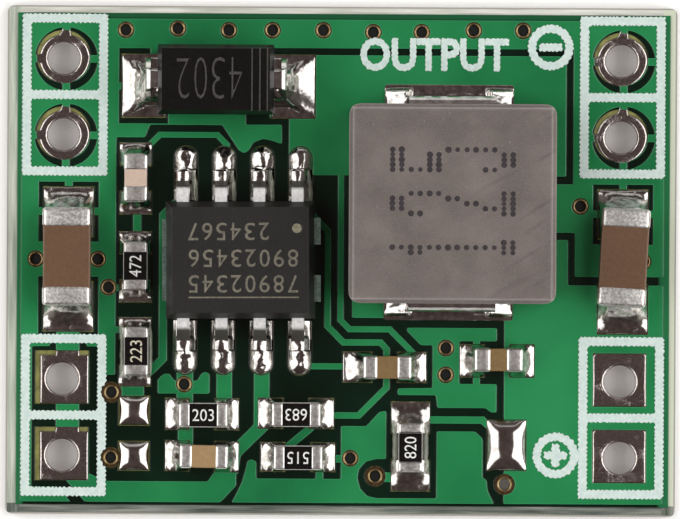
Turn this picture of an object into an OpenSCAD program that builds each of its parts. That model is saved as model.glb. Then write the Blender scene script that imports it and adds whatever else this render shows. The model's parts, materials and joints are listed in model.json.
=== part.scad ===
// Buck converter module: a small step-down power board with its parts soldered on top.
// The origin is the middle of the underside. X runs from the input end to the output end,
// Y runs from the positive pads to the negative pads and Z points up, away from the board.

/* [Board] */
// Board length along X
board_l = 22.25; // [22.1:0.05:26]
// Board width along Y
board_w = 16.9; // [16.8:0.05:20]
// Laminate thickness
board_t = 1.0; // [0.6:0.1:1.6]
// Corner radius of the board outline
board_corner_r = 0.25; // [0.1:0.05:1]
// Bare laminate left round the solder mask
bare_rim = 0.28; // [0.1:0.02:0.6]
// Bare laminate left round the copper
copper_rim = 0.42; // [0.2:0.02:0.8]

/* [Layers] */
// Copper foil thickness
copper_t = 0.035; // [0.018:0.001:0.105]
// Solder mask thickness over copper
mask_on_copper = 0.025; // [0.01:0.005:0.025]
// Solder mask thickness over bare laminate
mask_on_board = 0.04; // [0.036:0.002:0.06]
// Ink thickness above the mask over copper
ink_t = 0.02; // [0.01:0.005:0.04]
// Tin thickness on the bare pads on top
tin_t = 0.02; // [0.01:0.005:0.025]
// Tin thickness on the rings underneath, which carry the board
under_tin = 0.03; // [0.03:0.005:0.05]
// How far the etched copper sits off the drilled holes
copper_shift = [0.08, -0.02]; // [-0.2:0.01:0.2]
// How far the mask windows sit off the drilled holes
mask_shift = [-0.01, 0.05]; // [-0.2:0.01:0.2]
// How far the printed ink sits off the drilled holes
ink_shift = [0.045, 0.06]; // [-0.2:0.005:0.2]

/* [Wire holes] */
// Finished hole diameter
hole_d = 1.1; // [0.8:0.05:1.3]
// Wall of the plated barrel
barrel_wall = 0.04; // [0.02:0.01:0.08]
// Pitch inside a pair of holes
hole_pitch = 2.54; // [2:0.01:3]
// Distance from each short edge of the board to its column of holes
column_inset = 1.86; // [1.75:0.01:2]
// Distance from each long edge of the board to the outer rows
row_inset = 1.855; // [1.75:0.005:2]
// Offset of the hole pattern from the board's middle along X and Y
pattern_shift = [0.01, 0.1]; // [-0.2:0.01:0.2]
// Diameter of the round pads
round_pad_d = 1.6; // [1.3:0.05:1.9]
// Side of the square pads
square_pad = 1.62; // [1.3:0.02:1.9]
// Mask window size at every wire hole
pad_window = 1.78; // [1.5:0.02:2]
// Outer diameter of the gap round a pad that is tied by four spokes
spoke_gap_d = 2.1; // [1.8:0.05:2.5]
// Width of those spokes
spoke_w = 0.25; // [0.15:0.05:0.5]
// Width of the copper between the positive input holes and their capacitor
feed_w = 0.77; // [0.4:0.01:1.2]

/* [Vias] */
// Finished via hole diameter
via_d = 0.38; // [0.2:0.02:0.6]
// Wall of the via barrel
via_wall = 0.025; // [0.015:0.005:0.05]
// Diameter of the bare ring round a via
via_ring_d = 0.56; // [0.45:0.01:0.8]
// Diameter of the bare ring round a signal via
signal_ring_d = 0.7; // [0.5:0.01:0.9]

/* [Print] */
// Width of the printed lines
ink_line = 0.29; // [0.15:0.01:0.4]
// Outer diameter of the polarity signs
sign_d = 1.52; // [1:0.02:2]

/* [Controller] */
// Body length along X
ic_l = 4.95; // [4.8:0.05:5.1]
// Body width along Y
ic_w = 3.9; // [3.8:0.05:4]
// Body height
ic_h = 1.45; // [1.2:0.05:1.6]
// Gap under the body
ic_lift = 0.08; // [0.03:0.01:0.2]
// Inset of the top face on each side
ic_draft = 0.2; // [0.05:0.01:0.3]
// Pitch of the leads
lead_pitch = 1.27; // [1:0.01:1.5]
// Width of a lead
lead_w = 0.43; // [0.3:0.01:0.5]
// Thickness of a lead
lead_t = 0.2; // [0.1:0.01:0.25]
// Distance from toe to toe
lead_span = 6.02; // [5.8:0.02:6.2]
// Length of the foot
foot_l = 0.52; // [0.4:0.02:0.8]
// Length of the thermal slug
slug_l = 3.1; // [2:0.05:3.6]
// Width of the thermal slug
slug_w = 2.3; // [1.6:0.05:2.6]
// Diameter of the pin-one mark
ic_mark_d = 0.36; // [0.2:0.02:0.6]
// Inset of the pin-one mark from the body's sides
ic_mark_inset = [0.6, 0.88]; // [0.5:0.01:1]
// Centre of the body
ic_at = [-3.35, 0.02]; // [-4:0.01:1]
// Turn of the body on its pads
ic_turn = 0.4; // [-2:0.1:2]

/* [Rectifier] */
// Body length along X
diode_l = 3.86; // [3.5:0.02:4.6]
// Body width along Y
diode_w = 2.32; // [2:0.02:2.8]
// Body height
diode_h = 2.0; // [1.8:0.05:2.3]
// Width of each lead
diode_lead_w = 1.44; // [1.2:0.02:1.6]
// How far each lead stands out of the body
diode_lead_out = 0.42; // [0.2:0.02:0.6]
// Centre of the body
diode_at = [-4.19, 6.0]; // [-5:0.01:7]

/* [Inductor] */
// Body length along X
coil_l = 6.86; // [6:0.02:7.4]
// Body width along Y
coil_w = 6.6; // [6:0.02:7.4]
// Body height
coil_h = 3.0; // [2:0.1:4]
// Radius of the upright edges
coil_corner_r = 0.42; // [0.2:0.02:1]
// Bevel round the top face
coil_bevel = 0.14; // [0.05:0.01:0.3]
// Width of the terminal strips
coil_strip_w = 2.9; // [2:0.05:4]
// Thickness of the terminal strips
coil_strip_t = 0.22; // [0.1:0.01:0.3]
// How far the terminal strips stand out of the body
coil_strip_out = 0.28; // [0.22:0.01:0.4]
// Centre of the body
coil_at = [3.67, 1.92]; // [-1:0.01:5]

/* [Chip parts] */
// Length of the small chips
chip_l = 1.55; // [1.5:0.01:1.7]
// Width of the small chips
chip_w = 0.8; // [0.7:0.01:0.95]
// Height of the small capacitors
chip_cap_h = 0.78; // [0.4:0.01:0.9]
// Height of the small resistors
chip_res_h = 0.45; // [0.35:0.01:0.6]
// Length of the metal band on a small capacitor
chip_band = 0.37; // [0.2:0.01:0.5]
// Length of the metal band on a small resistor
res_band = 0.3; // [0.2:0.01:0.5]
// Length of the large capacitors
big_l = 3.14; // [3:0.02:3.4]
// Width of the large capacitors
big_w = 1.62; // [1.4:0.02:1.8]
// Height of the large capacitors
big_h = 1.25; // [0.8:0.05:1.8]
// Length of the metal band on a large capacitor
big_band = 0.52; // [0.3:0.02:0.8]
// Metal thickness of the end caps
cap_metal = 0.025; // [0.01:0.005:0.05]
// Turn of the output capacitor on its pads
cap_out_turn = -3; // [-6:0.5:6]

/* [Solder] */
// Solder left between a pad and the part on it
solder_t = 0.03; // [0.02:0.005:0.06]
// Height of the solder on a bridged or empty pad
blob_h = 0.3; // [0.15:0.05:0.6]

/* [Hidden] */
$fa = 6;
$fs = 0.04;
// Levels from the underside up
z_under = under_tin - mask_on_copper;
z_board = under_tin + copper_t;
z_top = z_board + board_t;
z_foil = z_top + copper_t;
z_mask = z_foil + mask_on_copper;
z_seat = z_foil + solder_t;
barrel_r = hole_d / 2 + barrel_wall;
via_r = via_d / 2 + via_wall;

// ---- Where things sit ----

// Rows of wire holes: [negative outer, negative inner, positive inner, positive outer]
hole_rows = [
  for (s = [1, -1], i = [0, 1]) let (inner = s > 0 ? i : 1 - i)
    pattern_shift[1] + s * (board_w / 2 - row_inset - inner * hole_pitch)
];
input_x = pattern_shift[0] - board_l / 2 + column_inset;
output_x = pattern_shift[0] + board_l / 2 - column_inset;

// Edges of the copper pours: right, left, far and near
pour_e = board_l / 2 - copper_rim;
pour_w = -pour_e + 0.05;
pour_n = board_w / 2 - copper_rim - 0.01;
pour_s = -pour_n - 0.02;

// Vias on the ground copper: the row along the far edge as [x, distance from the pour's edge]
edge_vias = [
  [-7.2, 0.37], [-5.47, 0.32], [-3.78, 0.37], [-2.33, 0.36], [-0.64, 0.35], [1.02, 0.41],
  [2.63, 0.4], [4.36, 0.33], [6, 0.33]
];
ground_vias = [
  for (v = edge_vias) [v[0], pour_n - v[1]],
  [output_x - 1.345, 1.86], [output_x + 0.745, 0.04],
  [input_x - 0.895, 0.02], [input_x + 1.155, 0.02], [-7.74, -0.91],
  [3.49, -2.87], [3.49, -3.76], [-5.2, -4.12], [0.33, -6.55]
];
// Vias that carry a signal to the underside
signal_vias = [[-7.62, -4.4], [-7.63, -6.57], [1.16, -7.14], [5.46, -7.39]];
// Routes on the underside that join the signal vias in pairs
under_routes = [
  [[1.16, -7.14], [1.16, -5.7], [-0.14, -4.4], [-7.62, -4.4]],
  [[5.46, -7.39], [5.06, -7.79], [-6.41, -7.79], [-7.63, -6.57]]
];

// Small chips: [middle of the chip, middle of its pads, turn, span of the pads, pad width]
loop_cap_at = [[-6.84, 2.73], [-6.85, 2.71], 90, 2.33, 1.0];
boot_cap_at = [[1.55, -3.52], [1.46, -3.52], 0, 2.72, 0.96];
lead_cap_at = [[5.24, -3.25], [5.19, -3.29], 0, 2.42, 1.04];
supply_cap_at = [[-4.53, -6.51], [-4.6, -6.51], -1, 2.38, 0.96];
loop_res_at = [[-6.84, -0.2], [-6.85, -0.23], 90, 2.3, 1.0];
lower_res_at = [[-6.8, -3.03], [-6.85, -3.05], 90, 2.24, 1.0];
clock_res_at = [[-4.56, -5.14], [-4.6, -5.11], 0, 2.38, 1.0];
enable_a_at = [[-1.47, -5.11], [-1.48, -5.07], 0, 2.46, 0.96];
enable_b_at = [[-1.4, -6.54], [-1.41, -6.52], 0, 2.42, 0.92];
upper_res_at = [[2.33, -6.18], [2.33, -6.15], 90, 2.92, 1.22];
CHIPS = [
  loop_cap_at, boot_cap_at, lead_cap_at, supply_cap_at, loop_res_at,
  lower_res_at, clock_res_at, enable_a_at, enable_b_at, upper_res_at
];
chip_pad_gap = 0.9;
// The polarity signs by the output holes
minus_at = [output_x - 2.355, hole_rows[0] + 0.445];
plus_at = [output_x - 2.125, hole_rows[3] + 0.075];
// The empty pads between the input and the controller: middle, span, width and length
spare_at = [[-6.86, -5.76], 2.4, 0.95, 0.9];
// The bridged pads beside the output: middle, span and width
bridge_at = [[5.52, -6.09], 1.26, 1.66];

// Large capacitors: [middle of the chip, middle of its pads, turn]
cap_in_at = [[input_x + 0.145, 0.11], [input_x + 0.185, 0.02], 90];
cap_out_at = [[output_x + 0.095, 0.17], [output_x + 0.075, 0.02], 90 + cap_out_turn];
big_pad_span = big_l + 1.6;
big_pad_gap = big_l - 1.58;
big_pad_w = big_w - 0.02;

// Controller pads: columns, width and the row limits
ic_pad_x = [for (i = [-1.5:1:1.5]) ic_at[0] + 0.075 + i * lead_pitch];
ic_pad_w = lead_w + 0.29;
ic_pad_in = lead_span / 2 - foot_l - 0.49;
ic_pad_out = lead_span / 2 + 0.77;

// Rectifier pads: their middle, inner and outer limits and width
diode_pads_at = diode_at + [0.08, -0.21];
diode_tip = diode_l / 2 + diode_lead_out;
diode_pad_in = diode_tip - 0.55;
diode_pad_out = diode_tip + 0.83;
diode_pad_w = diode_lead_w + 0.6;

// Inductor pads: their middle, inner and outer limits and width
coil_pads_at = coil_at + [-0.11, 0.045];
coil_tip = coil_w / 2 + coil_strip_out;
coil_pad_in = coil_tip - 1.425;
coil_pad_out = coil_tip + 0.315;
coil_pad_w = coil_strip_w + 1.34;

// ---- Plane figures ----

function unit(v) = v / norm(v);
function left_of(a, b) = let (d = unit(b - a)) [-d[1], d[0]];

// Mitre at point i of an open path, for an offset of one unit to the left
function mitre(p, i) =
  let (
    n = len(p) - 1,
    a = i > 0 ? left_of(p[i - 1], p[i]) : left_of(p[0], p[1]),
    b = i < n ? left_of(p[i], p[i + 1]) : a
  ) (a + b) / (1 + a * b);

// Points of a strip of constant width along an open path
function strip(p, w) = concat(
  [for (i = [0:len(p) - 1]) p[i] + mitre(p, i) * w / 2],
  [for (i = [len(p) - 1:-1:0]) p[i] - mitre(p, i) * w / 2]
);

// One corner eased by a curve of n steps that starts and ends r from the corner
function eased(a, p, b, r, n = 2) =
  let (
    d = min(r, 0.45 * norm(a - p), 0.45 * norm(b - p)),
    s = p + unit(a - p) * d,
    e = p + unit(b - p) * d
  ) [for (k = [0:n]) let (t = k / n) s * (1 - t) * (1 - t) + p * 2 * t * (1 - t) + e * t * t];

// A closed outline with every corner eased
function soft(p, r, n = 2) = let (m = len(p)) [
  for (i = [0:m - 1]) each eased(p[(i + m - 1) % m], p[i], p[(i + 1) % m], r, n)
];

// An open path with its inner corners eased
function soft_path(p, r, n = 5) = let (m = len(p)) [
  p[0],
  for (i = [1:1:m - 2]) each eased(p[i - 1], p[i], p[i + 1], r, n),
  p[m - 1]
];

function box_points(w, h) = [[-w / 2, -h / 2], [w / 2, -h / 2], [w / 2, h / 2], [-w / 2, h / 2]];

module track(p, w) {
  polygon(strip(p, w));
}

module pour(p, r = 0.06) {
  polygon(soft(p, r));
}

module frame(w, h, line) {
  difference() {
    square([w + line, h + line], center = true);
    square([w - line, h - line], center = true);
  }
}

// A flat body between two levels
module slab(z0, z1) {
  translate([0, 0, z0]) linear_extrude(z1 - z0) children();
}

module board_outline() {
  polygon(soft(box_points(board_l, board_w), board_corner_r, 5));
}

module mask_area() {
  translate([0.06, 0.04])
    square([board_l - 2 * bare_rim, board_w - 2 * bare_rim], center = true);
}

module wire_holes(d) {
  for (x = [input_x, output_x], y = hole_rows) translate([x, y]) circle(d = d);
}

module via_holes(d) {
  for (p = concat(ground_vias, signal_vias)) translate(p) circle(d = d);
}

// The pads of one small chip, grown by m on every side
module chip_pads(c, m = 0) {
  pad = (c[3] - chip_pad_gap) / 2;
  translate(c[1]) rotate(c[2])
    for (s = [-1, 1]) translate([s * (c[3] - pad) / 2, 0])
      square([pad + 2 * m, c[4] + 2 * m], center = true);
}

// One pad of a large capacitor: s is +1 for the ground end and -1 for the positive end
module big_pad(c, s, m = 0) {
  pad = (big_pad_span - big_pad_gap) / 2;
  translate(c[1] + [0, s * (big_pad_span - pad) / 2])
    square([big_pad_w + 2 * m, pad + 2 * m], center = true);
}

// Pads of the controller: oblong, round at the outer end
module ic_pads(m = 0) {
  w = ic_pad_w + 2 * m;
  for (x = ic_pad_x, s = [-1, 1]) {
    translate([x, s * (ic_pad_out + m - w / 2)]) circle(d = w);
    translate([x - w / 2, s > 0 ? ic_pad_in : -ic_pad_out - m + w / 2])
      square([w, ic_pad_out - ic_pad_in + m - w / 2]);
  }
}

module spare_pads(m = 0) {
  for (s = [-1, 1]) translate(spare_at[0] + [0, s * (spare_at[1] - spare_at[3]) / 2])
    square([spare_at[2] + 2 * m, spare_at[3] + 2 * m], center = true);
}

module bridge_pads(m = 0) {
  for (s = [-1, 1]) translate(bridge_at[0] + [s * (bridge_at[1] / 2 - 0.25), 0])
    square([0.5 + 2 * m, bridge_at[2] + 2 * m], center = true);
}

// Two pads either side of a middle, between the limits in and out along their own axis
module pad_pair(at, turn, near, far, w, m = 0) {
  translate(at) rotate(turn) for (s = [-1, 1]) translate([s * (near + far) / 2, 0])
    square([far - near + 2 * m, w + 2 * m], center = true);
}

module diode_pads(m = 0) {
  pad_pair(diode_pads_at, 0, diode_pad_in, diode_pad_out, diode_pad_w, m);
}

module coil_pads() {
  pad_pair(coil_pads_at, 90, coil_pad_in, coil_pad_out, coil_pad_w);
}

module slug_pad(m = 0) {
  translate(ic_at + [0.05, -0.02]) square([slug_l - 0.1 + 2 * m, slug_w + 2 * m], center = true);
}

// ---- Top copper ----

// Ground along the top, both sides and under the rectifier
module ground_top() {
  pour([
    [pour_w, pour_n], [pour_e, pour_n], [pour_e, -0.48], [7.76, -0.48], [7.76, 0.98],
    [0.6, 0.98],
    [0.6, 2.59], [7.69, 2.59], [7.69, 7.07], [-3.2, 7.07], [-3.2, 4.52], [-2, 4.52],
    [-2, 3.88], [-2.35, 4.0], [-2.64, 4.05], [-2.95, 3.92], [-3.1, 3.66], [-3.25, 3.57],
    [-3.42, 3.66], [-3.98, 4.5], [-6.38, 4.5], [-6.55, 4.08], [-7.5, 4.08],
    [-7.5, -3.82], [input_x + 1.3, -3.82], [input_x + 1.3, hole_rows[2] + 1.075],
    [input_x + 0.8, hole_rows[2] + 1.075], [input_x + 0.8, -2.3], [input_x - 0.42, -2.3],
    [input_x - 0.42, hole_rows[2] + 1.075], [input_x - 1.015, hole_rows[2] + 1.075],
    [input_x - 1.015, hole_rows[3] - 1.055], [input_x - 0.165, hole_rows[3] - 1.055],
    [input_x + 0.3, pour_s], [pour_w, pour_s]
  ]);
}

// Ground along the bottom edge, round the feedback parts
module ground_bottom() {
  pour([
    [-3.6, pour_s], [-3.4, -7.66], [-3.24, -7.3], [-3.12, -6.86], [-3.08, -6.66],
    [-2.95, -6.6], [-2.79, -6.68], [-2.79, -7.24], [0.02, -7.24], [0.02, -5.48],
    [0.86, -5.48], [1.3, -5.0], [1.52, -4.97], [1.52, -6.57], [1.2, -6.57], [0.85, -6.66],
    [0.62, -6.92], [0.57, -7.2], [0.66, -7.55], [0.9, -7.8], [1.2, -7.87], [3.2, -7.87],
    [3.2, -5.64], [4.48, -5.64], [4.73, -5.88], [4.73, -7.18], [4.86, -7.24],
    [4.9, -7.6], [5.02, -7.85], [5.12, pour_s]
  ]);
}

// Ground between the inductor and the feedback parts, with two vias
module ground_middle() {
  pour([
    [2.2, -2.2], [5.18, -2.2], [5.18, -2.64], [3.94, -2.64], [3.94, -4.06], [5.18, -4.06],
    [5.18, -5], [5.0, -5], [4.82, -4.86], [3.22, -4.86], [3.17, -4.44], [1.9, -4.44],
    [1.9, -4.22], [3.05, -4.2], [3.05, -2.78], [2.66, -2.78], [2.2, -2.32]
  ]);
}

// Ground at the controller's own ground pin
module ground_pin() {
  pour([
    [-6.08, -4.43], [-6.08, -3.97], [-5.88, -3.78], [-5.7, -3.77], [-5.54, -4],
    [-4.8, -4], [-4.74, -3.96], [-4.62, -3.76], [-4.5, -3.7], [-4.36, -3.78],
    [-4.36, -4.43]
  ]);
}

// Supply copper from the input holes along the bottom edge
module supply_strip() {
  pour([
    [input_x + 0.1, hole_rows[3] - 0.785], [input_x + 0.895, hole_rows[3] - 0.785],
    [input_x + 0.895, hole_rows[3] - 0.6], [input_x + 1.135, -7.2], [-7.95, -7.35],
    [-4.4, -7.35], [-4.18, -7.02], [-3.46, -6.98], [-3.46, -7.48], [-3.98, pour_s],
    [input_x + 0.775, pour_s]
  ]);
}

// Supply copper up to the controller
module supply_riser() {
  pour([
    [-2.88, -3.6], [-2.37, -3.6], [-2.37, -5.57], [-3.32, -6.5], [-3.4, -7.1],
    [-3.95, -7.1], [-3.95, -6.1], [-3.45, -6.02], [-2.88, -5.45]
  ]);
}

// The switched copper: rectifier, inductor and controller
module switch_copper() {
  pour([
    [-2.4, 6.84], [7.45, 6.84], [7.45, 2.85], [-1.76, 2.85], [-1.76, 4.74], [-2.4, 4.74]
  ]);
}

// Output copper from the inductor to the output holes
module output_copper() {
  pour([
    [0.37, 0.74], [7.53, 0.74], [7.53, -0.76], [pour_e, -0.76], [pour_e, pour_s],
    [5.43, pour_s], [5.43, -6.95], [5.64, -6.9], [5.64, -5.3], [5.43, -5.24],
    [5.43, -1.88], [0.37, -1.88]
  ]);
}

// Thin routes: [path, width]
ROUTES = [
  [[[-6.5, 3.72], [-6.05, 4.17], [-4.14, 4.17], [-3.82, 3.84], [-3.82, 3.5]], 0.19],
  [[[-6.79, 1.9], [-6.79, 0.7]], 0.27],
  [[[-6.7, -3.95], [-6.5, -3.86], [-5.92, -3.28], [-5.92, 1.5], [-5.3, 2.12]], 0.27],
  [[[-1.4, -3.5], [0.4, -3.5]], 0.2],
  [[[-0.02, 3], [-0.02, -1.96], [0.28, -2.26], [1.62, -2.26], [2.5, -3.14]], 0.2],
  [[
    [-2.64, 2.2], [-1.95, 1.5], [-0.95, 1.5], [-0.45, 1], [-0.45, -2.16], [0.08, -2.7],
    [1.32, -2.7], [1.52, -2.92], [1.52, -4.2], [0.6, -5.13], [-0.5, -5.13]
  ], 0.21],
  [[[-0.7, -5.3], [-1.72, -6.16], [-2.2, -6.4]], 0.25],
  [[[2.6, -5.26], [4.72, -5.26], [5.1, -5.6]], 0.24],
  [[[1.16, -7.14], [1.9, -7.2]], 0.32],
  [[[-7.63, -6.57], [-7.1, -6.55]], 0.32],
  [[[-7.62, -4.4], [-7.1, -4.38]], 0.34],
  [[[-7.74, -0.91], [-7.1, -0.95]], 0.22],
  [[[-7.6, -2.32], [-7.1, -2.32]], 0.22],
  [[[-3.87, -3.4], [-3.87, -4.8]], 0.51],
  [[[-6.89, -3.9], [-6.89, -4.8]], 0.7],
  [[[-5.18, -3.4], [-5.18, -4.8]], 0.54],
  [[[-5.15, -5.4], [-5.15, -6.2]], 0.5],
  [[[input_x + 0.18, -2.2], [input_x + 0.18, hole_rows[3] + 0.6]], feed_w],
  [[[-0.69, -7.3], [-0.69, -6.8]], 0.25],
  [[[-0.45, -6.57], [0.2, -6.57]], 0.25],
  [[[3.85, -3.38], [4.2, -3.38]], 0.25],
  [[[4.51, -2.6], [4.51, -4.1]], 0.22]
];

// Gap round the ground pads that are tied to the ground copper by spokes
module relief_gaps() {
  for (x = [input_x, output_x], y = [hole_rows[0], hole_rows[1]])
    translate([x, y] + copper_shift) circle(d = spoke_gap_d);
  for (c = [cap_in_at, cap_out_at]) big_pad(c, 1, 0.2);
  big_pad(cap_in_at, -1, 0.2);
  translate(diode_pads_at - [(diode_pad_in + diode_pad_out) / 2, 0])
    square([1.64, diode_pad_w + 0.46], center = true);
}

// Spokes as strips: [path, width]
SPOKES = [
  for (x = [input_x, output_x], y = [hole_rows[0], hole_rows[1]], d = [[1, 0], [0, 1]])
    let (p = [x, y] + copper_shift, r = spoke_gap_d / 2 + 0.05) [[p - d * r, p + d * r], spoke_w],
  for (c = [cap_in_at, cap_out_at]) let (p = c[1] + [0, 1.59], r = big_pad_w / 2 + 0.25)
    [[p - [r, 0], p + [r, 0]], spoke_w],
  for (c = [cap_in_at, cap_out_at]) [[c[1] + [0, 1.9], c[1] + [0, 2.62]], spoke_w],
  [[[-7.6, 5.78], [-7, 5.78]], 0.24],
  [[[-6.26, 6.6], [-6.26, 7.1]], 0.24]
];

// Wire pads: round ones on the negative rows, square ones on the positive rows
module wire_pads() {
  for (x = [input_x, output_x], k = [0:3]) translate([x, hole_rows[k]] + copper_shift)
    if (k < 2) circle(d = round_pad_d);
    else square(square_pad, center = true);
}

// Copper that the mask covers at least in part, as solid layers between two levels
module covered_copper(z0, z1) {
  slab(z0, z1) difference() {
    ground_top();
    relief_gaps();
  }
  slab(z0, z1) ground_bottom();
  slab(z0, z1) ground_middle();
  slab(z0, z1) ground_pin();
  slab(z0, z1) supply_strip();
  slab(z0, z1) supply_riser();
  slab(z0, z1) switch_copper();
  slab(z0, z1) output_copper();
  slab(z0, z1) wire_pads();
  slab(z0, z1) slug_pad();
  for (t = concat(ROUTES, SPOKES)) slab(z0, z1) track(t[0], t[1]);
}

// Copper that lies wholly in windows of the mask
module bare_copper(z0, z1) {
  for (c = CHIPS) slab(z0, z1) chip_pads(c);
  for (s = [-1, 1]) slab(z0, z1) big_pad(cap_in_at, s);
  slab(z0, z1) big_pad(cap_out_at, 1);
  slab(z0, z1) ic_pads();
  slab(z0, z1) spare_pads();
  slab(z0, z1) bridge_pads();
  slab(z0, z1) diode_pads();
  slab(z0, z1) for (p = signal_vias) translate(p) circle(d = signal_ring_d - 0.02);
  slab(z0, z1) translate([-5.2, -4.12]) circle(d = via_ring_d - 0.02);
}

// ---- Underside copper ----

module underside_copper(z0, z1) {
  slab(z0, z1) difference() {
    translate([pour_w, pour_s]) square([pour_e - pour_w, pour_n - pour_s]);
    for (x = [input_x, output_x], y = hole_rows) translate([x, y]) circle(d = spoke_gap_d);
    for (p = signal_vias) translate(p) circle(d = signal_ring_d + 0.4);
    for (r = under_routes) track(r, 0.65);
  }
  slab(z0, z1) for (x = [input_x, output_x], y = hole_rows)
    translate([x, y]) circle(d = round_pad_d);
  for (x = [input_x, output_x], y = [hole_rows[0], hole_rows[1]], a = [0, 90])
    slab(z0, z1) translate([x, y]) rotate(a) square([spoke_gap_d + 0.1, spoke_w], center = true);
  slab(z0, z1) for (p = signal_vias) translate(p) circle(d = signal_ring_d - 0.02);
  for (r = under_routes) slab(z0, z1) track(r, 0.25);
}

// ---- Mask windows ----

module wire_windows() {
  for (x = [input_x, output_x]) {
    for (y = [hole_rows[0], hole_rows[1]])
      translate([x, y] + mask_shift) circle(d = pad_window);
    for (y = [hole_rows[2], hole_rows[3]])
      translate([x, y] + mask_shift) square(pad_window, center = true);
  }
}

module via_windows() {
  for (p = ground_vias) translate(p) circle(d = via_ring_d);
  for (p = signal_vias) translate(p) circle(d = signal_ring_d);
}

module part_windows() {
  for (c = CHIPS) chip_pads(c, 0.04);
  for (c = [cap_in_at, cap_out_at], s = [-1, 1]) big_pad(c, s, 0.05);
  ic_pads(0.04);
  slug_pad(-0.05);
  spare_pads(0.05);
  translate(bridge_at[0])
    square([bridge_at[1] + 0.06, bridge_at[2] + 0.06], center = true);
  diode_pads(0.05);
  coil_pads();
}

module underside_windows() {
  for (x = [input_x, output_x], y = hole_rows) translate([x, y]) circle(d = round_pad_d + 0.16);
  via_windows();
}

// ---- Board layers ----

module laminate() {
  color([0.79, 0.79, 0.72]) slab(z_board, z_top) difference() {
    board_outline();
    wire_holes(2 * barrel_r);
    via_holes(2 * via_r);
  }
}

// Drill bits for every plated hole and via
module drills() {
  slab(-1, z_mask + 1) wire_holes(2 * barrel_r);
  slab(-1, z_mask + 1) via_holes(2 * via_r);
}

module copper_top() {
  color([0.8, 0.5, 0.32]) difference() {
    union() {
      covered_copper(z_top, z_foil);
      bare_copper(z_top, z_foil);
    }
    drills();
  }
}

module copper_bottom() {
  color([0.8, 0.5, 0.32]) difference() {
    underside_copper(under_tin, z_board);
    drills();
  }
}

// The mask lies over the foil and steps down at its edges
module solder_mask_top() {
  color([0.1, 0.45, 0.26]) difference() {
    union() {
      slab(z_top, z_top + mask_on_board) mask_area();
      covered_copper(z_top, z_mask);
    }
    covered_copper(z_top - 0.1, z_foil);
    slab(z_top - 0.1, z_mask + 0.1) wire_windows();
    slab(z_top - 0.1, z_mask + 0.1) via_windows();
    slab(z_top - 0.1, z_mask + 0.1) part_windows();
  }
}

module solder_mask_bottom() {
  color([0.1, 0.45, 0.26]) difference() {
    union() {
      slab(z_board - mask_on_board, z_board) mask_area();
      underside_copper(z_under, z_board);
    }
    underside_copper(under_tin, z_board + 0.1);
    slab(-0.1, z_board + 0.1) underside_windows();
  }
}

// One bar of a polarity sign
module sign_bar() {
  square([sign_d / 2, ink_line - 0.03], center = true);
}

module ink_outline() {
  difference() {
    union() {
      for (x = [input_x, output_x], y = hole_rows)
        translate([x, y] + ink_shift) frame(hole_pitch, hole_pitch, ink_line);
      for (p = [minus_at, plus_at]) translate(p) difference() {
        circle(d = sign_d);
        circle(d = sign_d - 2 * ink_line + 0.04);
      }
      translate(minus_at) sign_bar();
      translate(plus_at) for (a = [0, 90]) rotate(a) sign_bar();
    }
    via_windows();
  }
}

module silkscreen() {
  color([0.88, 0.92, 0.9]) difference() {
    slab(z_top + mask_on_board, z_mask + ink_t) ink_outline();
    covered_copper(z_top, z_mask);
  }
}

// Plated barrels with their tinned pads, for the rows a to b of one column
module plated_holes(x, a, b) {
  difference() {
    union() {
      for (k = [a:b]) translate([x, hole_rows[k], 0])
        cylinder(r = barrel_r, h = z_foil + tin_t);
      intersection() {
        slab(z_foil, z_foil + tin_t) for (k = [a:b])
          translate([x, hole_rows[k]] + mask_shift)
            if (k < 2) circle(d = pad_window);
            else square(pad_window, center = true);
        union() {
          slab(z_foil, z_foil + tin_t) wire_pads();
          for (t = concat(ROUTES, SPOKES)) if (t[1] == spoke_w || t[1] == feed_w)
            slab(z_foil, z_foil + tin_t) track(t[0], t[1]);
          slab(z_foil, z_foil + tin_t) output_copper();
        }
      }
      slab(0, under_tin) for (k = [a:b])
        translate([x, hole_rows[k]]) circle(d = round_pad_d);
    }
    for (k = [a:b]) translate([x, hole_rows[k], -1]) cylinder(d = hole_d, h = z_foil + 2);
  }
}

module barrels_input_negative() {
  color([0.62, 0.58, 0.56]) plated_holes(input_x, 0, 1);
}

module barrels_input_positive() {
  color([0.62, 0.58, 0.56]) plated_holes(input_x, 2, 3);
}

module barrels_output_negative() {
  color([0.62, 0.58, 0.56]) plated_holes(output_x, 0, 1);
}

module barrels_output_positive() {
  color([0.62, 0.58, 0.56]) plated_holes(output_x, 2, 3);
}

module via_barrels() {
  color([0.85, 0.62, 0.4]) slab(under_tin - 0.01, z_foil + 0.01) difference() {
    via_holes(2 * via_r);
    via_holes(via_d);
  }
}

// ---- Shared solid shapes ----

// A moulded body: widest at half height, drawn in by draft at the top and less at the bottom
module moulded(l, w, h, draft) {
  intersection() {
    rotate([90, 0, 0]) linear_extrude(w + 2, center = true) draft_profile(l, h, draft);
    rotate([90, 0, 90]) linear_extrude(l + 2, center = true) draft_profile(w, h, draft);
  }
}

module draft_profile(l, h, draft) {
  polygon([
    [-l / 2 + 0.6 * draft, 0], [l / 2 - 0.6 * draft, 0], [l / 2, 0.48 * h],
    [l / 2, 0.52 * h], [l / 2 - draft, h], [-l / 2 + draft, h], [-l / 2, 0.52 * h],
    [-l / 2, 0.48 * h]
  ]);
}

// A block whose long edges and upright edges are eased by r
module soft_block(l, w, h, r) {
  intersection() {
    translate([-l / 2, 0, h / 2]) rotate([90, 0, 90]) linear_extrude(l)
      polygon(soft(box_points(w, h), r));
    translate([0, 0, -1]) linear_extrude(h + 2) polygon(soft(box_points(l, w), r));
  }
}

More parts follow.
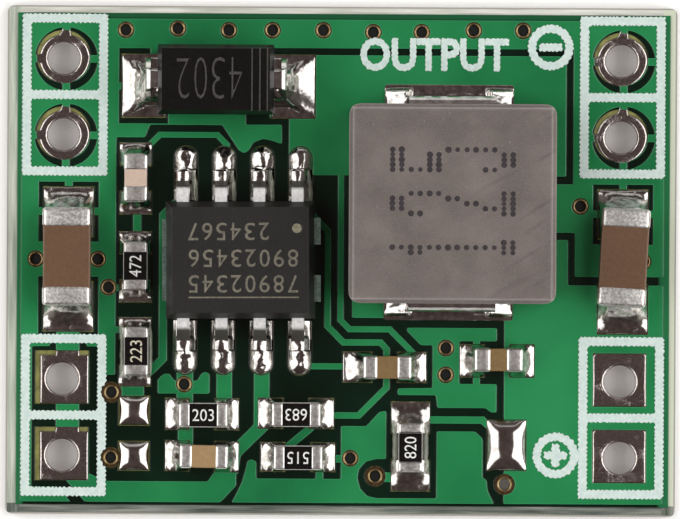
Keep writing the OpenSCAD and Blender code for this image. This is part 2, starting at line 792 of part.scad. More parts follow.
// A bent metal strip: the path runs in the XZ plane and the width along Y
module bent_strip(path, t, w, r) {
  rotate([90, 0, 0]) linear_extrude(w, center = true)
    polygon(strip(soft_path(path, r), t));
}

// Solder that climbs an end face at x0 and runs out to x1, hollow in profile
module fillet_solder(x0, x1, w0, w1, h) {
  intersection() {
    rotate([90, 0, 0]) linear_extrude(w1 + 2, center = true) polygon(concat(
      [[x0, -solder_t], [x1, -solder_t]],
      [for (k = [0:6]) [x1 + (x0 - x1) * k / 6, 0.02 + (h - 0.02) * pow(k / 6, 2.2)]]
    ));
    translate([0, 0, -1]) linear_extrude(h + 2)
      polygon([[x0, -w0 / 2], [x1, -w1 / 2], [x1, w1 / 2], [x0, w0 / 2]]);
  }
}

// A low cushion of solder, the meeting of two lying cylinders
module solder_cushion(l, w, h) {
  rl = (l * l / 4 + h * h) / (2 * h);
  rw = (w * w / 4 + h * h) / (2 * h);
  intersection() {
    translate([0, 0, h - rl]) rotate([90, 0, 0])
      cylinder(r = rl, h = w + 1, center = true, $fn = 96);
    translate([0, 0, h - rw]) rotate([0, 90, 0])
      cylinder(r = rw, h = l + 1, center = true, $fn = 96);
    translate([-l / 2, -w / 2, 0]) cube([l, w, h]);
  }
}

// ---- Controller ----

module at_controller() {
  translate([ic_at[0], ic_at[1], z_seat]) rotate(ic_turn) children();
}

module controller_lead_set() {
  mid = ic_lift + ic_h / 2;
  foot = lead_span / 2;
  at_controller() for (s = [-1, 1], i = [-1.5:1:1.5])
    translate([i * lead_pitch, 0, 0]) rotate(90 * s) bent_strip([
      [ic_w / 2 - 0.2, mid], [ic_w / 2 + 0.42, mid], [foot - foot_l, lead_t / 2],
      [foot, lead_t / 2]
    ], lead_t, lead_w, 0.2);
}

module controller_slug_block() {
  at_controller() translate([0, 0, (ic_lift + 0.2) / 2])
    cube([slug_l, slug_w, ic_lift + 0.2], center = true);
}

module tie_bar_set() {
  at_controller() translate([0, 0, ic_lift + ic_h / 2]) {
    for (s = [-1, 1]) translate([ic_l / 2 + 0.02, s * 0.95, 0])
      cube([0.34, 0.88, lead_t], center = true);
    translate([-ic_l / 2, 0, 0]) cube([0.24, 2.7, lead_t], center = true);
  }
}

module controller_body() {
  color([0.17, 0.17, 0.18]) difference() {
    at_controller() translate([0, 0, ic_lift]) moulded(ic_l, ic_w, ic_h, ic_draft);
    controller_lead_set();
    controller_slug_block();
    tie_bar_set();
    at_controller() translate([
      ic_l / 2 - ic_mark_inset[0], ic_w / 2 - ic_mark_inset[1], ic_lift + ic_h - 0.03
    ]) cylinder(d = ic_mark_d, h = 1);
  }
}

module controller_leads() {
  color([0.8, 0.8, 0.8]) controller_lead_set();
}

module controller_slug() {
  color([0.7, 0.7, 0.7]) controller_slug_block();
}

module controller_tie_bars() {
  color([0.35, 0.37, 0.36]) tie_bar_set();
}

// ---- Rectifier ----

module at_rectifier() {
  translate([diode_at[0], diode_at[1], z_seat]) children();
}

module rectifier_lead_set() {
  t = 0.2;
  out = diode_l / 2 + diode_lead_out - t / 2;
  at_rectifier() for (s = [0, 180]) rotate(s) bent_strip([
    [diode_l / 2 - 0.3, 0.5 * diode_h + 0.1], [out, 0.5 * diode_h + 0.1], [out, t / 2],
    [diode_l / 2 - 0.8, t / 2]
  ], t, diode_lead_w, 0.22);
}

module rectifier_body() {
  color([0.12, 0.12, 0.13]) difference() {
    at_rectifier() translate([0, 0, 0.08])
      moulded(diode_l, diode_w, diode_h, 0.14);
    rectifier_lead_set();
  }
}

module rectifier_leads() {
  color([0.78, 0.78, 0.77]) rectifier_lead_set();
}

// ---- Inductor ----

module at_inductor() {
  translate([coil_at[0], coil_at[1], z_seat]) children();
}

module coil_strip_set() {
  out = coil_tip - coil_strip_t / 2;
  at_inductor() for (s = [90, 270]) rotate(s) bent_strip([
    [coil_w / 2 - 0.4, 1.15], [out, 1.15], [out, coil_strip_t / 2],
    [coil_w / 2 - 1.3, coil_strip_t / 2]
  ], coil_strip_t, coil_strip_w, 0.25);
}

// Profile of the inductor body with its top edges bevelled
module coil_profile(l) {
  polygon([
    [-l / 2, 0.04], [l / 2, 0.04], [l / 2, coil_h - coil_bevel],
    [l / 2 - coil_bevel, coil_h], [-l / 2 + coil_bevel, coil_h],
    [-l / 2, coil_h - coil_bevel]
  ]);
}

module inductor_body() {
  color([0.46, 0.44, 0.44]) difference() {
    at_inductor() intersection() {
      linear_extrude(coil_h) polygon(soft(box_points(coil_l, coil_w), coil_corner_r, 6));
      rotate([90, 0, 0]) linear_extrude(coil_w + 1, center = true) coil_profile(coil_l);
      rotate([90, 0, 90]) linear_extrude(coil_l + 1, center = true) coil_profile(coil_w);
    }
    coil_strip_set();
  }
}

module inductor_terminals() {
  color([0.75, 0.74, 0.72]) coil_strip_set();
}

// ---- Chip capacitors and resistors ----

module at_chip(c) {
  translate([c[0][0], c[0][1], z_seat]) rotate(c[2]) children();
}

module ceramic(l, w, h) {
  translate([0, 0, cap_metal])
    soft_block(l - 2 * cap_metal, w - 2 * cap_metal, h - 2 * cap_metal, 0.05);
}

// Metal that wraps both ends of a ceramic block
module end_metal(l, w, h, band) {
  difference() {
    intersection() {
      soft_block(l, w, h, 0.08);
      for (s = [-1, 1]) translate([s * (l - band) / 2, 0, h / 2])
        cube([band, w + 1, h + 1], center = true);
    }
    ceramic(l, w, h);
  }
}

module big_ceramic(c) {
  color([0.45, 0.31, 0.22]) at_chip(c) ceramic(big_l, big_w, big_h);
}

module big_ends(c) {
  color([0.75, 0.74, 0.72]) at_chip(c) end_metal(big_l, big_w, big_h, big_band);
}

module small_ceramic(c) {
  color([0.68, 0.55, 0.38]) at_chip(c) ceramic(chip_l, chip_w, chip_cap_h);
}

module small_ends(c) {
  color([0.78, 0.77, 0.75]) at_chip(c) end_metal(chip_l, chip_w, chip_cap_h, chip_band);
}

// Flat ceramic base of a chip resistor
module base_block() {
  translate([0, 0, chip_res_h / 2 - 0.01])
    cube([chip_l - 2 * cap_metal, chip_w, chip_res_h - 2 * cap_metal - 0.02], center = true);
}

module resistor_base(c) {
  color([0.9, 0.89, 0.86]) at_chip(c) base_block();
}

module resistor_coat(c) {
  color([0.1, 0.09, 0.1]) at_chip(c) translate([0, 0, chip_res_h - cap_metal - 0.02])
    linear_extrude(0.035)
      polygon(soft(box_points(chip_l - 2 * res_band, chip_w - 0.04), 0.03));
}

module resistor_ends(c) {
  color([0.78, 0.77, 0.75]) at_chip(c) difference() {
    intersection() {
      soft_block(chip_l, chip_w, chip_res_h, 0.05);
      for (s = [-1, 1]) translate([s * (chip_l - res_band) / 2, 0, chip_res_h / 2])
        cube([res_band, chip_w + 1, chip_res_h + 1], center = true);
    }
    base_block();
  }
}

module input_capacitor() { big_ceramic(cap_in_at); }
module input_capacitor_ends() { big_ends(cap_in_at); }
module output_capacitor() { big_ceramic(cap_out_at); }
module output_capacitor_ends() { big_ends(cap_out_at); }
module loop_capacitor() { small_ceramic(loop_cap_at); }
module loop_capacitor_ends() { small_ends(loop_cap_at); }
module boot_capacitor() { small_ceramic(boot_cap_at); }
module boot_capacitor_ends() { small_ends(boot_cap_at); }
module lead_capacitor() { small_ceramic(lead_cap_at); }
module lead_capacitor_ends() { small_ends(lead_cap_at); }
module supply_capacitor() { small_ceramic(supply_cap_at); }
module supply_capacitor_ends() { small_ends(supply_cap_at); }
module loop_resistor() { resistor_base(loop_res_at); }
module loop_resistor_coat() { resistor_coat(loop_res_at); }
module loop_resistor_ends() { resistor_ends(loop_res_at); }
module lower_resistor() { resistor_base(lower_res_at); }
module lower_resistor_coat() { resistor_coat(lower_res_at); }
module lower_resistor_ends() { resistor_ends(lower_res_at); }
module clock_resistor() { resistor_base(clock_res_at); }
module clock_resistor_coat() { resistor_coat(clock_res_at); }
module clock_resistor_ends() { resistor_ends(clock_res_at); }
module enable_resistor_a() { resistor_base(enable_a_at); }
module enable_resistor_a_coat() { resistor_coat(enable_a_at); }
module enable_resistor_a_ends() { resistor_ends(enable_a_at); }
module enable_resistor_b() { resistor_base(enable_b_at); }
module enable_resistor_b_coat() { resistor_coat(enable_b_at); }
module enable_resistor_b_ends() { resistor_ends(enable_b_at); }
module upper_resistor() { resistor_base(upper_res_at); }
module upper_resistor_coat() { resistor_coat(upper_res_at); }
module upper_resistor_ends() { resistor_ends(upper_res_at); }

// ---- Solder ----

// Fillets at both ends of a chip: s is the end, a the chip's offset along its own axis
module chip_fillets(c, l, w, h, span, pad_w) {
  d = c[0] - c[1];
  a = d[0] * cos(c[2]) + d[1] * sin(c[2]);
  translate([c[1][0], c[1][1], z_seat]) rotate(c[2]) for (s = [-1, 1])
    rotate(s > 0 ? 0 : 180) fillet_solder(l / 2 + s * a, span / 2, w, pad_w, h);
}

module controller_solder() {
  color([0.8, 0.8, 0.78]) difference() {
    union() {
      slab(z_foil, z_seat) {
        ic_pads();
        slug_pad(-0.05);
      }
      for (x = ic_pad_x, s = [-1, 1]) translate([x, 0, z_seat]) rotate(90 * s)
        fillet_solder(lead_span / 2 - 0.04, ic_pad_out - 0.06, ic_pad_w - 0.12,
          ic_pad_w - 0.26, 0.85 * lead_t);
    }
    controller_lead_set();
  }
}

module rectifier_solder() {
  color([0.8, 0.8, 0.78]) difference() {
    union() {
      slab(z_foil, z_seat) diode_pads();
      translate([diode_pads_at[0], diode_pads_at[1], z_seat]) for (s = [0, 180]) rotate(s)
        fillet_solder(diode_tip - 0.13, diode_pad_out, diode_lead_w + 0.16, diode_pad_w,
          0.45 * diode_h);
    }
    rectifier_lead_set();
  }
}

module inductor_solder() {
  color([0.8, 0.8, 0.78]) difference() {
    union() {
      slab(z_foil, z_seat) coil_pads();
      translate([coil_pads_at[0], coil_pads_at[1], z_seat]) for (s = [90, 270]) rotate(s)
        fillet_solder(coil_tip - 0.1, coil_pad_out, coil_strip_w + 0.3, coil_pad_w, 0.5);
    }
    coil_strip_set();
  }
}

module large_capacitor_solder() {
  large = [cap_in_at, cap_out_at];
  color([0.8, 0.8, 0.78]) difference() {
    for (c = large) {
      slab(z_foil, z_seat) for (s = [-1, 1]) big_pad(c, s);
      chip_fillets([c[0], c[1], 90], big_l - 0.2, big_w - 0.1, 0.64 * big_h, big_pad_span,
        big_pad_w);
    }
    for (c = large) at_chip(c) soft_block(big_l, big_w, big_h, 0.08);
  }
}

module small_capacitor_solder() {
  small = [loop_cap_at, boot_cap_at, lead_cap_at, supply_cap_at];
  color([0.8, 0.8, 0.78]) difference() {
    for (c = small) {
      slab(z_foil, z_seat) chip_pads(c);
      chip_fillets(c, chip_l - 0.1, chip_w, 0.64 * chip_cap_h, c[3], c[4]);
    }
    for (c = small) at_chip(c) soft_block(chip_l, chip_w, chip_cap_h, 0.08);
  }
}

module resistor_solder() {
  flat = [loop_res_at, lower_res_at, clock_res_at, enable_a_at, enable_b_at, upper_res_at];
  color([0.8, 0.8, 0.78]) difference() {
    for (c = flat) {
      slab(z_foil, z_seat) chip_pads(c);
      chip_fillets(c, chip_l - 0.1, chip_w, 0.76 * chip_res_h, c[3], c[4]);
    }
    for (c = flat) at_chip(c) {
      soft_block(chip_l, chip_w, chip_res_h, 0.05);
      base_block();
    }
  }
}

// Solder on the empty pads and across the bridged ones
module bridge_solder() {
  color([0.8, 0.8, 0.78]) {
    for (s = [-1, 1]) translate([
      spare_at[0][0], spare_at[0][1] + s * (spare_at[1] - spare_at[3]) / 2, z_foil
    ]) solder_cushion(spare_at[2], spare_at[3], blob_h);
    translate([bridge_at[0][0], bridge_at[0][1], z_foil])
      solder_cushion(bridge_at[1], bridge_at[2], 1.5 * blob_h);
  }
}

barrels_input_negative();
barrels_input_positive();
barrels_output_negative();
barrels_output_positive();
laminate();
copper_top();
copper_bottom();
solder_mask_top();
solder_mask_bottom();
silkscreen();
via_barrels();
controller_body();
controller_leads();
controller_slug();
controller_tie_bars();
rectifier_body();
rectifier_leads();
inductor_body();
inductor_terminals();
input_capacitor();
input_capacitor_ends();
output_capacitor();
output_capacitor_ends();
loop_capacitor();
loop_capacitor_ends();
boot_capacitor();
boot_capacitor_ends();
lead_capacitor();
lead_capacitor_ends();
supply_capacitor();
supply_capacitor_ends();
loop_resistor();
loop_resistor_coat();
loop_resistor_ends();
lower_resistor();
lower_resistor_coat();
lower_resistor_ends();
clock_resistor();
clock_resistor_coat();
clock_resistor_ends();
enable_resistor_a();
enable_resistor_a_coat();
enable_resistor_a_ends();
enable_resistor_b();
enable_resistor_b_coat();
enable_resistor_b_ends();
upper_resistor();
upper_resistor_coat();
upper_resistor_ends();
controller_solder();
rectifier_solder();
inductor_solder();
large_capacitor_solder();
small_capacitor_solder();
resistor_solder();
bridge_solder();
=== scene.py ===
import json
import math

import bmesh
import bpy
from mathutils import Matrix, Vector, noise


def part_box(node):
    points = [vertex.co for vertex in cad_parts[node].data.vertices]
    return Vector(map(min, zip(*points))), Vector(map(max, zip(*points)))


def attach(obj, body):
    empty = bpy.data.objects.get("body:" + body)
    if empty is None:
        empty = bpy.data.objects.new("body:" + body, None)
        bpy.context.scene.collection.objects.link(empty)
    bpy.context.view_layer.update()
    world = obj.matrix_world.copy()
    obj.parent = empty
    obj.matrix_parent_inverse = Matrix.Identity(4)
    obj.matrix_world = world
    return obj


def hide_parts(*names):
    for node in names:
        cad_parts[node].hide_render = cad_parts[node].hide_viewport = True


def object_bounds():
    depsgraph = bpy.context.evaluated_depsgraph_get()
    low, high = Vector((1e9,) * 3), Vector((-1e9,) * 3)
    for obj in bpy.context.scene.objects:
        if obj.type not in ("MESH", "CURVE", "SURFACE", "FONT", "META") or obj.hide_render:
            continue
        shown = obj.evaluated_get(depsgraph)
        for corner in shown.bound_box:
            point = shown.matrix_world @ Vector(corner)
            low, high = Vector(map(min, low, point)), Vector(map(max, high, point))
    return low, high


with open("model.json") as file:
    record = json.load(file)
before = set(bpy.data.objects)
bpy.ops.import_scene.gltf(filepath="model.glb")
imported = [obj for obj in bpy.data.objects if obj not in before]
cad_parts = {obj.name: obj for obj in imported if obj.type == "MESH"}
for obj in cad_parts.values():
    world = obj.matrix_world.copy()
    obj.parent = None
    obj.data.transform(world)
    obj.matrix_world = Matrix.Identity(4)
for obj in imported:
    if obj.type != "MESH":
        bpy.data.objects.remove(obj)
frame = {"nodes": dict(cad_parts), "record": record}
cad_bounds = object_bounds()

MM = 0.001
NODES = frame["nodes"]
MOUNTS = {m["name"]: m for m in frame["record"]["mounts"]}

# ---- Levels of the board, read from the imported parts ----
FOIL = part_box("copper_top")[1].z
LAMINATE_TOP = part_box("laminate")[1].z
LAMINATE_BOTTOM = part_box("laminate")[0].z
MASK_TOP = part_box("solder_mask_top")[1].z
INK_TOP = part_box("silkscreen")[1].z
PAD_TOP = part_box("barrels_input_negative")[1].z
HOLE_R = MOUNTS["input_negative_outer_hole"]["dims"]["r_mm"] * MM

# ---- Sizes of what is only made here ----
BARREL_WALL = 0.04 * MM
UNDER_TIN = 0.035 * MM
JOINT_LIP = 0.05 * MM
STRIP = 0.2  # thickness of lead strip, in millimetres
MARK_RISE = 0.0015 * MM
MARK_THICK = 0.004 * MM
SCREEN_PITCH = 0.15  # threads of the printing screen, in millimetres


# ---- Small helpers ----

def clamp(t):
    """t, kept between 0 and 1."""
    return max(0.0, min(1.0, t))


def placed(name, data):
    """A new object with this data, in the scene."""
    made = bpy.data.objects.new(name, data)
    bpy.context.scene.collection.objects.link(made)
    return made


def standing(x, y, z, turn=0.0):
    """Placement at a point, turned about the vertical."""
    return Matrix.Translation((x, y, z)) @ Matrix.Rotation(turn, 4, "Z")


def linear(code):
    """The linear colour of an sRGB hex value such as 2F7F4B."""
    parts = [int(code[i:i + 2], 16) / 255 for i in (0, 2, 4)]
    return tuple(c / 12.92 if c <= 0.04045 else ((c + 0.055) / 1.055) ** 2.4 for c in parts) + (1,)


def wire(tree, made, **sockets):
    """Fills a node's sockets. Each is named, or numbered as in i0, and takes a value, a hex colour,
    an output, or another node, whose first open output it is linked to."""
    for key, value in sockets.items():
        numbered = key[0] == "i" and key[1:].isdigit()
        socket = made.inputs[int(key[1:]) if numbered else key.replace("_", " ")]
        if isinstance(value, bpy.types.Node):
            value = next(output for output in value.outputs if output.enabled)
        if isinstance(value, bpy.types.NodeSocket):
            tree.links.new(value, socket)
        else:
            socket.default_value = linear(value) if isinstance(value, str) else value


def node(tree, kind, settings=None, **sockets):
    """Adds a node with its settings and links. A ramp's stops are (position, hex colour)."""
    made = tree.nodes.new(kind if "Node" in kind else "ShaderNode" + kind)
    for key, value in (settings or {}).items():
        if key != "stops":
            setattr(made, key, value)
            continue
        elements = made.color_ramp.elements
        while len(elements) < len(value):
            elements.new(0.5)
        for element, (position, code) in zip(elements, value):
            element.position = position
            element.color = linear(code)
    wire(tree, made, **sockets)
    return made


def tones(*codes, low=0.3, high=0.7):
    """Ramp settings that spread colours evenly over the levels of a pattern."""
    span = (high - low) / (len(codes) - 1)
    return {"stops": [(low + span * k, code) for k, code in enumerate(codes)]}


LARGER = {"operation": "MAXIMUM"}
PRODUCT = {"operation": "MULTIPLY"}
UNSIGNED = {"operation": "ABSOLUTE"}
OVER = {"operation": "GREATER_THAN"}
UNDER = {"operation": "LESS_THAN"}
COLORS = {"data_type": "RGBA"}


def blank(name):
    """A material with its tree, its Object coordinates in millimetres and its surface shader."""
    mat = bpy.data.materials.new(name)
    mat.use_nodes = True
    tree = mat.node_tree
    tree.nodes.clear()
    coords = node(tree, "TexCoord").outputs["Object"]
    place = node(tree, "Mapping", Vector=coords, Scale=(1 / MM, 1 / MM, 1 / MM))
    shader = node(tree, "BsdfPrincipled")
    node(tree, "OutputMaterial", Surface=shader)
    return mat, tree, place, shader


def edge_light(tree, radius_mm, gain):
    """0 on flat faces, rising to 1 along blunted edges, and the normal that rounds them."""
    rounded = node(tree, "Bevel", {"samples": 6}, Radius=radius_mm * MM)
    flat = node(tree, "NewGeometry").outputs["Normal"]
    same = node(tree, "VectorMath", {"operation": "DOT_PRODUCT"}, i0=rounded, i1=flat)
    return node(tree, "MapRange", Value=same, From_Min=1.0, From_Max=1.0 - gain), rounded


# ---- Finishes. A pattern's Scale is 1 over the size of its grains in millimetres ----

def solder_mask():
    """Screened epoxy solder mask: clear green where copper lies under it, almost black green over bare
    laminate, glossy, with a painted highlight, a pale line where it steps down at the copper's edges."""
    mat, tree, place, shader = blank("epoxy_solder_mask")
    xyz = node(tree, "SeparateXYZ", Vector=place).outputs
    # it lies over copper where it stands highest on top and lowest underneath
    over_top = node(tree, "Math", OVER, i0=xyz["Z"], i1=MASK_TOP / MM - 0.01)
    below = node(tree, "Math", UNDER, i0=xyz["Z"], i1=0.015)
    covered = node(tree, "Math", LARGER, i0=over_top, i1=below)
    cloud = node(tree, "TexNoise", Vector=place, Scale=1 / 5.0, Detail=3.0)
    green = node(tree, "ValToRGB", tones("1B6B40", "227F49", "2C8E55"), Fac=cloud)
    blotch = node(tree, "TexNoise", Vector=place, Scale=1 / 2.5)
    dark = node(tree, "ValToRGB", tones("021409", "062114"), Fac=blotch)
    # painted highlight: pale green mixed in where the step at the copper's edges is rounded
    step, rounded = edge_light(tree, 0.05, 0.35)
    green_with_step_highlight = node(tree, "Mix", COLORS, i0=step, i6=green, i7="5CB486")
    color = node(tree, "Mix", COLORS, i0=covered, i6=dark, i7=green_with_step_highlight)
    # light that enters the sawn edges shows through near both ends and along the far side
    ends = node(tree, "Math", UNSIGNED, i0=xyz["X"])
    for across, near, rim, most in ((ends, 10.52, 10.62, 0.7), (xyz["Y"], 7.9, 8.1, 0.4)):
        glow = node(tree, "MapRange", Value=across, From_Min=near, From_Max=rim, To_Max=most)
        color = node(tree, "Mix", COLORS, i0=glow, i6=color, i7="2C8150")
    grain = node(tree, "TexNoise", Vector=place, Scale=1 / 0.12)
    bump = node(tree, "Bump", Height=grain, Distance=0.001 * MM, Normal=rounded)
    gloss = node(tree, "MapRange", Value=cloud, To_Min=0.14, To_Max=0.24)
    wire(tree, shader, Base_Color=color, Normal=bump, Roughness=gloss, IOR=1.5)
    return mat


def glass_epoxy():
    """Sawn glass-epoxy laminate: cream with drawn glass threads along each cut where the mask
    ends short of the edge, olive in the mask's openings where the green round them shines in."""
    mat, tree, place, shader = blank("woven_glass_epoxy")
    xyz = node(tree, "SeparateXYZ", Vector=place).outputs
    half = (cad_bounds[1] - cad_bounds[0]) / 2 / MM
    band, arris = 0.45, 0.05  # millimetres in from the sawn edge
    far = {a: node(tree, "Math", UNSIGNED, i0=xyz[a]) for a in "XY"}
    ends = node(tree, "Math", OVER, i0=far["X"], i1=half.x - band)
    sides = node(tree, "Math", OVER, i0=far["Y"], i1=half.y - band)
    rim = node(tree, "Math", LARGER, i0=ends, i1=sides)
    last_x = node(tree, "Math", OVER, i0=far["X"], i1=half.x - arris)
    last_y = node(tree, "Math", OVER, i0=far["Y"], i1=half.y - arris)
    last = node(tree, "Math", LARGER, i0=last_x, i1=last_y)
    threads = []
    for scale in ((0.5, 9.0, 9.0), (9.0, 0.5, 9.0)):
        drawn = node(tree, "Mapping", Vector=place, Scale=scale)
        threads.append(node(tree, "TexNoise", Vector=drawn, Scale=1.0, Detail=3.0))
    lines = node(tree, "Mix", i0=ends, i2=threads[0], i3=threads[1])
    cream = node(tree, "ValToRGB", tones("B6B6AB", "D2D2C8", "E6E6DD"), Fac=lines)
    duller = node(tree, "ValToRGB", tones("9BA596", "B9C0B0", "D0D3C6"), Fac=lines)
    cream = node(tree, "Mix", COLORS, i0=ends, i6=cream, i7=duller)
    right = node(tree, "Math", OVER, i0=xyz["X"], i1=half.x - band)
    cream = node(tree, "Mix", COLORS, i0=right, i6=cream, i7="CFD6BF")
    # painted shade: the strip along the near side of the rim is darker than the rest of the rim
    near_side_shade = node(tree, "ValToRGB", tones("3E473F", "6A7067", "92948B"), Fac=lines)
    near = node(tree, "Math", UNDER, i0=xyz["Y"], i1=-half.y + 0.36)
    shaded = node(tree, "Mix", COLORS, i0=near, i6=cream, i7=near_side_shade)
    shaded = node(tree, "Mix", COLORS, i0=last, i6=shaded, i7="A39F96")
    blotch = node(tree, "TexNoise", Vector=place, Scale=1 / 0.3)
    olive = node(tree, "ValToRGB", tones("6B6A34", "979654"), Fac=blotch)
    color = node(tree, "Mix", COLORS, i0=rim, i6=olive, i7=shaded)
    bump = node(tree, "Bump", Height=lines, Distance=0.006 * MM)
    wire(tree, shader, Base_Color=color, Normal=bump, Roughness=0.55)
    return mat


def metal(name, low, high, grain_mm, depth_mm, rough, detail=2.0):
    """Metal from two tones, with a grain of its own size and depth."""
    mat, tree, place, shader = blank(name)
    grain = node(tree, "TexNoise", Vector=place, Scale=1 / grain_mm, Detail=detail)
    color = node(tree, "ValToRGB", tones(low, high), Fac=grain)
    bump = node(tree, "Bump", Height=grain, Distance=depth_mm * MM)
    gloss = node(tree, "MapRange", Value=grain, To_Min=rough * 0.8, To_Max=rough * 1.25)
    wire(tree, shader, Base_Color=color, Normal=bump, Roughness=gloss, Metallic=1.0)
    return mat


def moulding(name, low, high, grain_mm, depth_mm, rough, edge_mm, edge=None, shine=0.5):
    """Filled or fired body: a fine sandy surface, blunt edges, and, where edge gives its colour, a
    painted highlight: a paler line along them."""
    mat, tree, place, shader = blank(name)
    grain = node(tree, "TexNoise", Vector=place, Scale=1 / grain_mm, Detail=4.0, Roughness=0.7)
    cloud = node(tree, "TexNoise", Vector=place, Scale=1 / 1.8, Detail=3.0)
    both = node(tree, "Mix", i0=0.25, i2=grain, i3=cloud)
    color = node(tree, "ValToRGB", tones(low, high, low=0.35, high=0.62), Fac=both)
    rim, rounded = edge_light(tree, edge_mm, 0.3)
    # painted highlight: a paler line along the blunted edges
    if edge:
        color = node(tree, "Mix", COLORS, i0=rim, i6=color, i7=edge)
    bump = node(tree, "Bump", Height=grain, Distance=depth_mm * MM, Normal=rounded)
    wire(tree, shader, Base_Color=color, Normal=bump, Roughness=rough, Specular_IOR_Level=shine)
    return mat


def printed(name, low, high, rough=0.6):
    """A printed or burnt mark: two close tones, uneven as ink is."""
    mat, tree, place, shader = blank(name)
    uneven = node(tree, "TexNoise", Vector=place, Scale=1 / 0.12)
    color = node(tree, "ValToRGB", tones(low, high), Fac=uneven)
    wire(tree, shader, Base_Color=color, Roughness=rough)
    return mat


def clear_flux():
    """Hardened rosin flux: half clear and a little milky, so it shows as pale wisps."""
    mat, tree, place, shader = blank("rosin_flux")
    haze = node(tree, "TexNoise", Vector=place, Scale=1 / 0.2)
    color = node(tree, "ValToRGB", tones("A9AE9A", "D6D9C9"), Fac=haze)
    bump = node(tree, "Bump", Height=haze, Distance=0.006 * MM)
    wire(tree, shader, Base_Color=color, Normal=bump, Roughness=0.15, Transmission_Weight=0.6, IOR=1.5)
    return mat


def levelled_tin():
    """Tin levelled with hot air: a dark mirror from above, with patches of fine pits that
    catch the lights."""
    mat, tree, place, shader = blank("hot_air_levelled_tin")
    pits = node(tree, "TexNoise", Vector=place, Scale=1 / 0.08, Detail=4.0, Roughness=0.65)
    cloud = node(tree, "TexNoise", Vector=place, Scale=1 / 0.45)
    patch = node(tree, "MapRange", Value=cloud, From_Min=0.5, From_Max=0.68, To_Min=0.1)
    height = node(tree, "Math", PRODUCT, i0=pits, i1=patch)
    color = node(tree, "ValToRGB", tones("A39792", "DDD6D1"), Fac=pits)
    bump = node(tree, "Bump", Height=height, Distance=0.011 * MM)
    wire(tree, shader, Base_Color=color, Normal=bump, Roughness=0.18, Metallic=1.0)
    return mat


def satin_tin():
    """Electroplated satin tin: pale where it lies level, with painted shade making it darker down its
    bends.
    """
    mat, tree, place, shader = blank("satin_plated_tin")
    grain = node(tree, "TexNoise", Vector=place, Scale=1 / 0.09)
    normal = node(tree, "NewGeometry").outputs["Normal"]
    level = node(tree, "SeparateXYZ", Vector=normal).outputs["Z"]
    # painted shade: darker where the lead bends away from level
    bend_shade = node(tree, "MapRange", Value=level, From_Min=0.92, From_Max=0.6, To_Max=0.9)
    clean = node(tree, "ValToRGB", tones("E6E5E3", "FFFFFE"), Fac=grain)
    color = node(tree, "Mix", COLORS, i0=bend_shade, i6=clean, i7="6B665F")
    bump = node(tree, "Bump", Height=grain, Distance=0.004 * MM)
    wire(tree, shader, Base_Color=color, Normal=bump, Roughness=0.52, Metallic=1.0)
    return mat


def pressed_powder():
    """Pressed iron powder, ground flat: warm grey in soft clouds with fine dark grains, slanting
    scuffs, a few bright flecks and a painted highlight, a pale line along its blunted edges."""
    mat, tree, place, shader = blank("pressed_iron_powder")
    grain = node(tree, "TexNoise", Vector=place, Scale=1 / 0.055, Detail=4.0, Roughness=0.7)
    cloud = node(tree, "TexNoise", Vector=place, Scale=1 / 1.3, Detail=4.0)
    both = node(tree, "Mix", i0=0.5, i2=grain, i3=cloud)
    color = node(tree, "ValToRGB", tones("625A56", "7D7470", low=0.36, high=0.64), Fac=both)
    slanted = node(tree, "Mapping", {"vector_type": "TEXTURE"}, Vector=place,
                   Rotation=(0, 0, math.radians(33)), Scale=(2.6, 0.22, 1.0))
    rubbed = node(tree, "TexNoise", Vector=slanted, Scale=1.0, Detail=4.0)
    scuff = node(tree, "MapRange", Value=rubbed, From_Min=0.56, From_Max=0.72, To_Max=0.45)
    across = node(tree, "SeparateXYZ", Vector=place).outputs["X"]
    handled = node(tree, "MapRange", Value=across, From_Min=3.8, From_Max=6.3, To_Min=0.15)
    scuffed = node(tree, "Math", PRODUCT, i0=scuff, i1=handled)
    color = node(tree, "Mix", COLORS, i0=scuffed, i6=color, i7="554C49")
    grit = node(tree, "TexNoise", Vector=place, Scale=1 / 0.1)
    fleck = node(tree, "MapRange", Value=grit, From_Min=0.72, From_Max=0.78, To_Max=0.55)
    color = node(tree, "Mix", COLORS, i0=fleck, i6=color, i7="ABA39E")
    # painted highlight: a pale line along the blunted edges
    rim, rounded = edge_light(tree, 0.17, 0.3)
    color = node(tree, "Mix", COLORS, i0=rim, i6=color, i7="D8D2CD")
    bump = node(tree, "Bump", Height=grain, Distance=0.005 * MM, Normal=rounded)
    wire(tree, shader, Base_Color=color, Normal=bump, Roughness=0.62, Specular_IOR_Level=0.3)
    return mat


